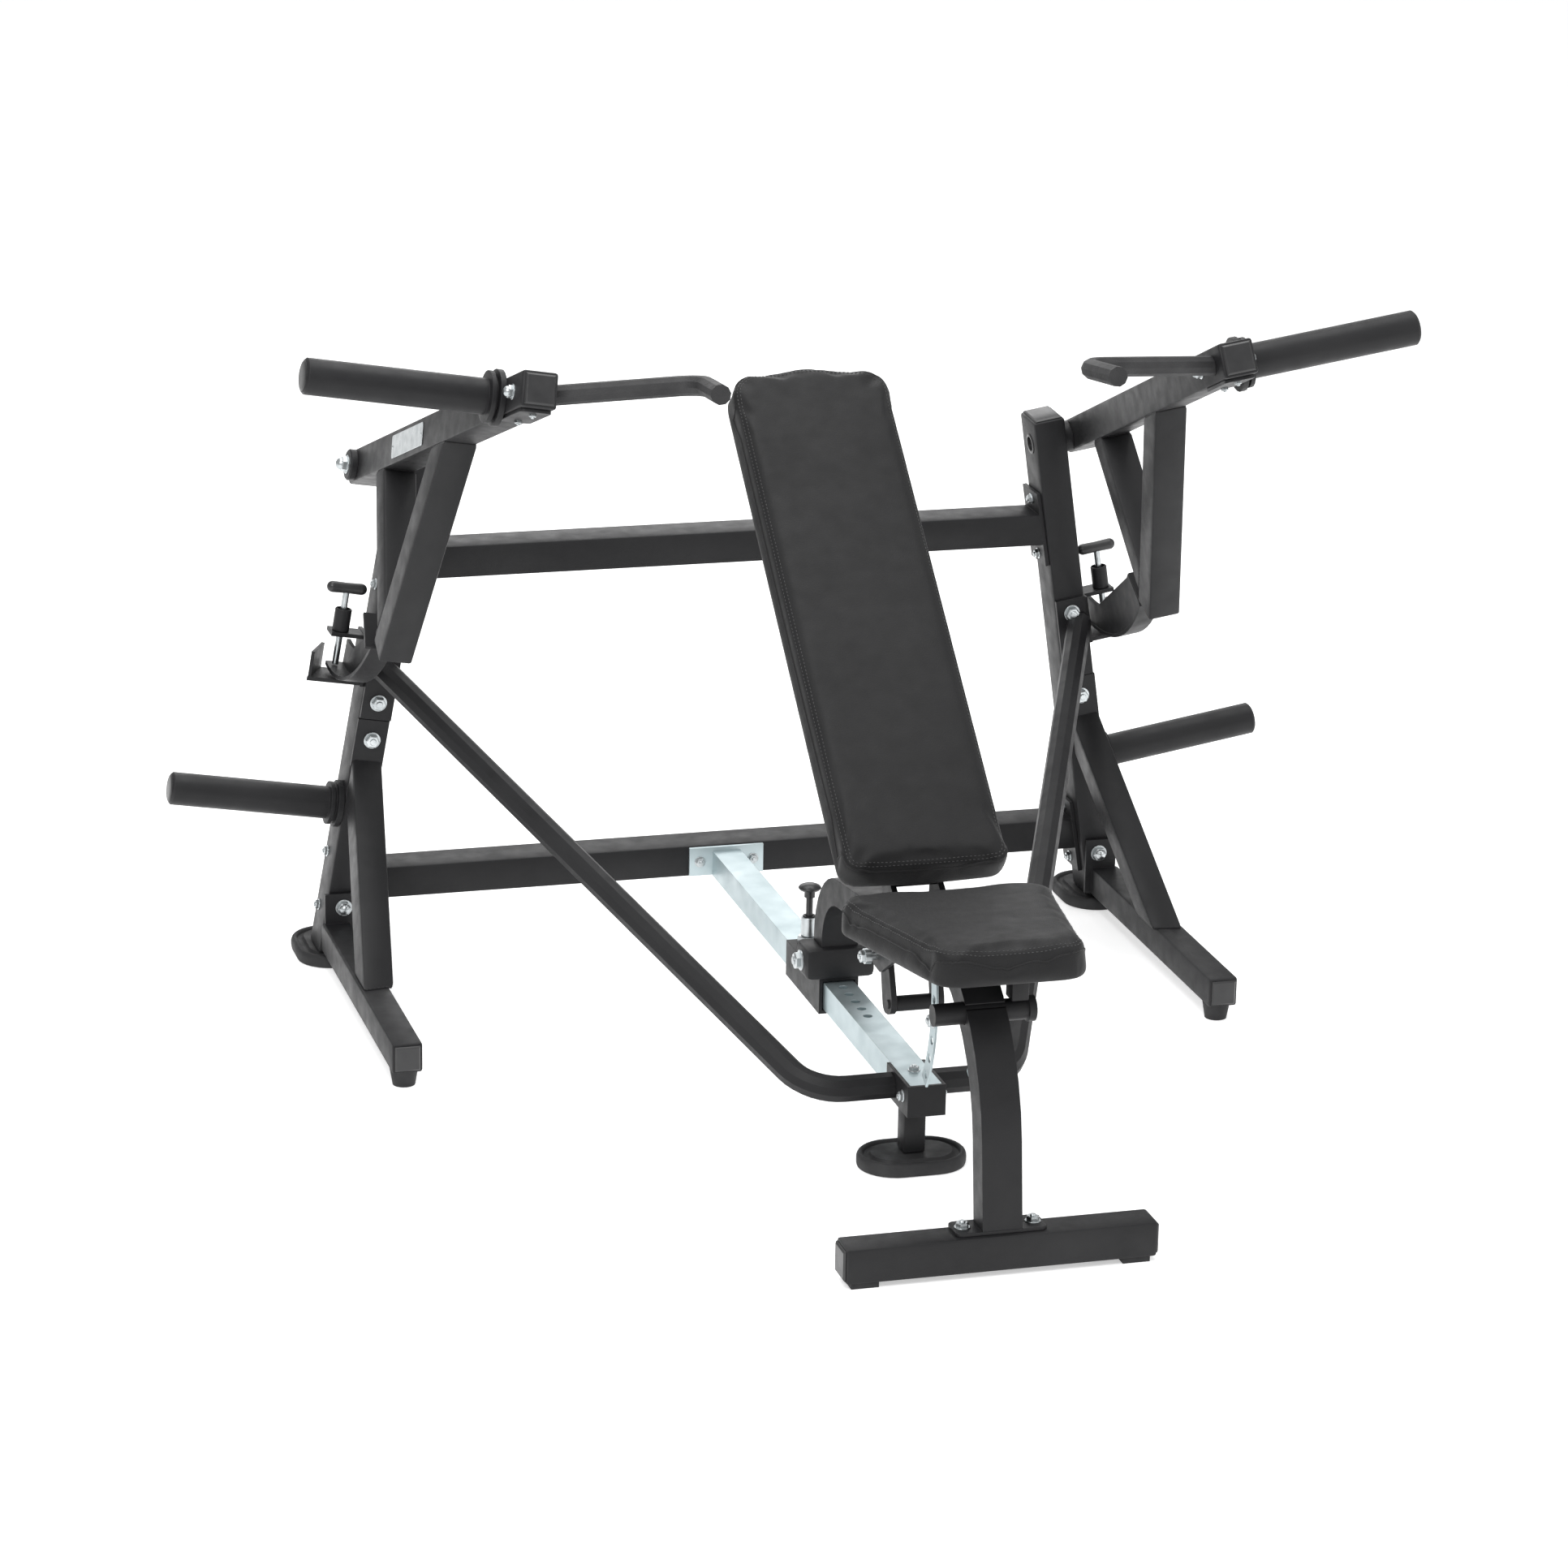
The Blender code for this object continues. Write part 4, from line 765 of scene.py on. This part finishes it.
def cushion(name, node, body, place, size):
    """The stuffed pad: the CAD solid drawn in, inflated, crowned and smoothed."""
    obj = bpy.data.objects.new(name, frame["nodes"][node].data.copy())
    bpy.context.scene.collection.objects.link(obj)
    with_modifier(obj, "WELD", merge_threshold=1e-5)
    with_modifier(obj, "REMESH", mode="VOXEL", voxel_size=0.005)
    half_width, length, thickness = size
    inverse = place.inverted()
    for vertex in obj.data.vertices:
        vertex.co -= vertex.normal * 0.0030
    fixed = [v.index for v in obj.data.vertices if (inverse @ v.co).z < 0.006 - thickness]
    swell(obj, fixed, 0.0055)
    crown(obj, place, half_width, length, 0.0030)
    with_modifier(obj, "SMOOTH", factor=0.5, iterations=4)
    with_modifier(obj, "SUBSURF", levels=1, render_levels=1)
    made = dressed(obj, body, "upholstery", 60)
    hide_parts(node)
    return made


def shifted(loop, normal, distance):
    """The loop moved outward in its own plane."""
    count = len(loop)
    middle = sum(loop, Vector()) / count
    moved = []
    for i, point in enumerate(loop):
        along = (loop[(i + 1) % count] - loop[i - 1]).normalized()
        out = along.cross(normal)
        if out.dot(point - middle) < 0:
            out = -out
        moved.append(point + out * distance)
    return moved


def stitching(name, pad, node, body, up):
    """A welt round the pad's shoulder and a double row of stitches inside it."""
    shown = pad.matrix_world
    tree = BVHTree.FromPolygons([shown @ v.co for v in pad.data.vertices],
                                [tuple(p.vertices) for p in pad.data.polygons])
    loop, normal = face_loop(node, up)
    loop = resampled(loop, 0.0030)

    def laid(distance, sink):
        path = []
        for point in shifted(loop, normal, distance):
            hit, facing = tree.ray_cast(point + normal * 0.04, -normal)[:2]
            if hit is not None:
                path.append(hit + facing * sink)
        return path

    welt = bmesh.new()
    sweep(welt, laid(0.0045, -0.0002), 0.0014, sides=8, closed=True)
    piece(name + "_welt", welt, body, "upholstery", sharp=80)
    thread = bmesh.new()
    for distance in (0.0005, -0.0035):
        path = resampled(laid(distance, 0.0002), 0.0015)
        for i in range(0, len(path) - 3, 4):
            run = path[i:i + 3]
            sweep(thread, run, lambda k: (0.00030, 0.00060, 0.00030)[k], sides=6)
    piece(name + "_stitches", thread, body, "thread", sharp=80)


def upholster():
    back = back_matrix()
    pad = cushion("back_cushion", "back_pad", "back", back, BACK_PAD)
    stitching("back", pad, "back_pad", "back", back.to_3x3() @ UP)
    seat = seat_matrix()
    pad = cushion("seat_cushion", "seat_pad", "seat", seat, SEAT_PAD)
    stitching("seat", pad, "seat_pad", "seat", seat.to_3x3() @ UP)


# Camera, light and floor ----------------------------------------------------------------------------
def camera():
    """The photograph's viewing angle."""
    azimuth, pitch, roll = radians(16.10), radians(17.52), radians(1.11)
    place = Matrix.Translation((-1.968, -6.4919, 2.586))
    look = Vector((sin(azimuth) * cos(pitch), cos(azimuth) * cos(pitch), -sin(pitch)))
    level = Vector((cos(azimuth), -sin(azimuth), 0.0))
    over = level.cross(look)
    right = level * cos(roll) + over * sin(roll)
    up = over * cos(roll) - level * sin(roll)
    data = bpy.data.cameras.new("camera")
    data.sensor_width = 36.0
    data.lens = 114.22
    obj = bpy.data.objects.new("camera", data)
    obj.matrix_world = place @ Matrix((right, up, -look)).transposed().to_4x4()
    bpy.context.scene.collection.objects.link(obj)
    bpy.context.scene.camera = obj


def area_light(name, place, target, size, power):
    data = bpy.data.lights.new(name, "AREA")
    data.size = size
    data.energy = power
    obj = bpy.data.objects.new(name, data)
    obj.location = place
    obj.rotation_euler = (Vector(target) - Vector(place)).to_track_quat("-Z", "Y").to_euler()
    bpy.context.scene.collection.objects.link(obj)


def studio():
    """Four soft lamps, a pale world and a matt floor."""
    area_light("key", (-2.4, -3.2, 4.2), (0.0, 0.0, 0.4), 2.6, 150.0)
    area_light("fill", (3.6, -2.4, 2.6), (0.0, 0.0, 0.4), 3.0, 45.0)
    area_light("top", (0.0, 0.6, 4.6), (0.0, 0.0, 0.3), 3.4, 130.0)
    area_light("behind", (0.5, 4.2, 2.6), (0.0, 0.0, 0.5), 3.0, 50.0)
    world = bpy.data.worlds.new("studio")
    world.use_nodes = True
    background = world.node_tree.nodes["Background"]
    background.inputs["Color"].default_value = (1.0, 1.0, 1.0, 1.0)
    background.inputs["Strength"].default_value = 0.55
    bpy.context.scene.world = world
    mesh = bpy.data.meshes.new("floor")
    half = 15.0
    corners = [(-half, -half, 0), (half, -half, 0), (half, half, 0), (-half, half, 0)]
    mesh.from_pydata(corners, [], [(0, 1, 2, 3)])
    floor = bpy.data.objects.new("floor", mesh)
    paint = bpy.data.materials.new("floor")
    paint.use_nodes = True
    shader = paint.node_tree.nodes["Principled BSDF"]
    shader.inputs["Base Color"].default_value = (0.90, 0.90, 0.90, 1.0)
    shader.inputs["Roughness"].default_value = 0.85
    shader.inputs["Emission Color"].default_value = (1.0, 1.0, 1.0, 1.0)
    shader.inputs["Emission Strength"].default_value = 0.48
    mesh.materials.append(paint)
    bpy.context.scene.collection.objects.link(floor)
    bpy.context.scene.view_settings.view_transform = "Standard"


dress_nodes()
for side_name, side_sign in SIDES.items():
    tower_fasteners(side_name, side_sign)
    arm_fasteners(side_name, side_sign)
    pin_collars(side_name, side_sign)
    sleeve_details(side_name, side_sign)
bench_fasteners()
rail_fasteners()
seat_and_back_fasteners()
end_caps()
welds()
feet()
badge()
upholster()
camera()
studio()
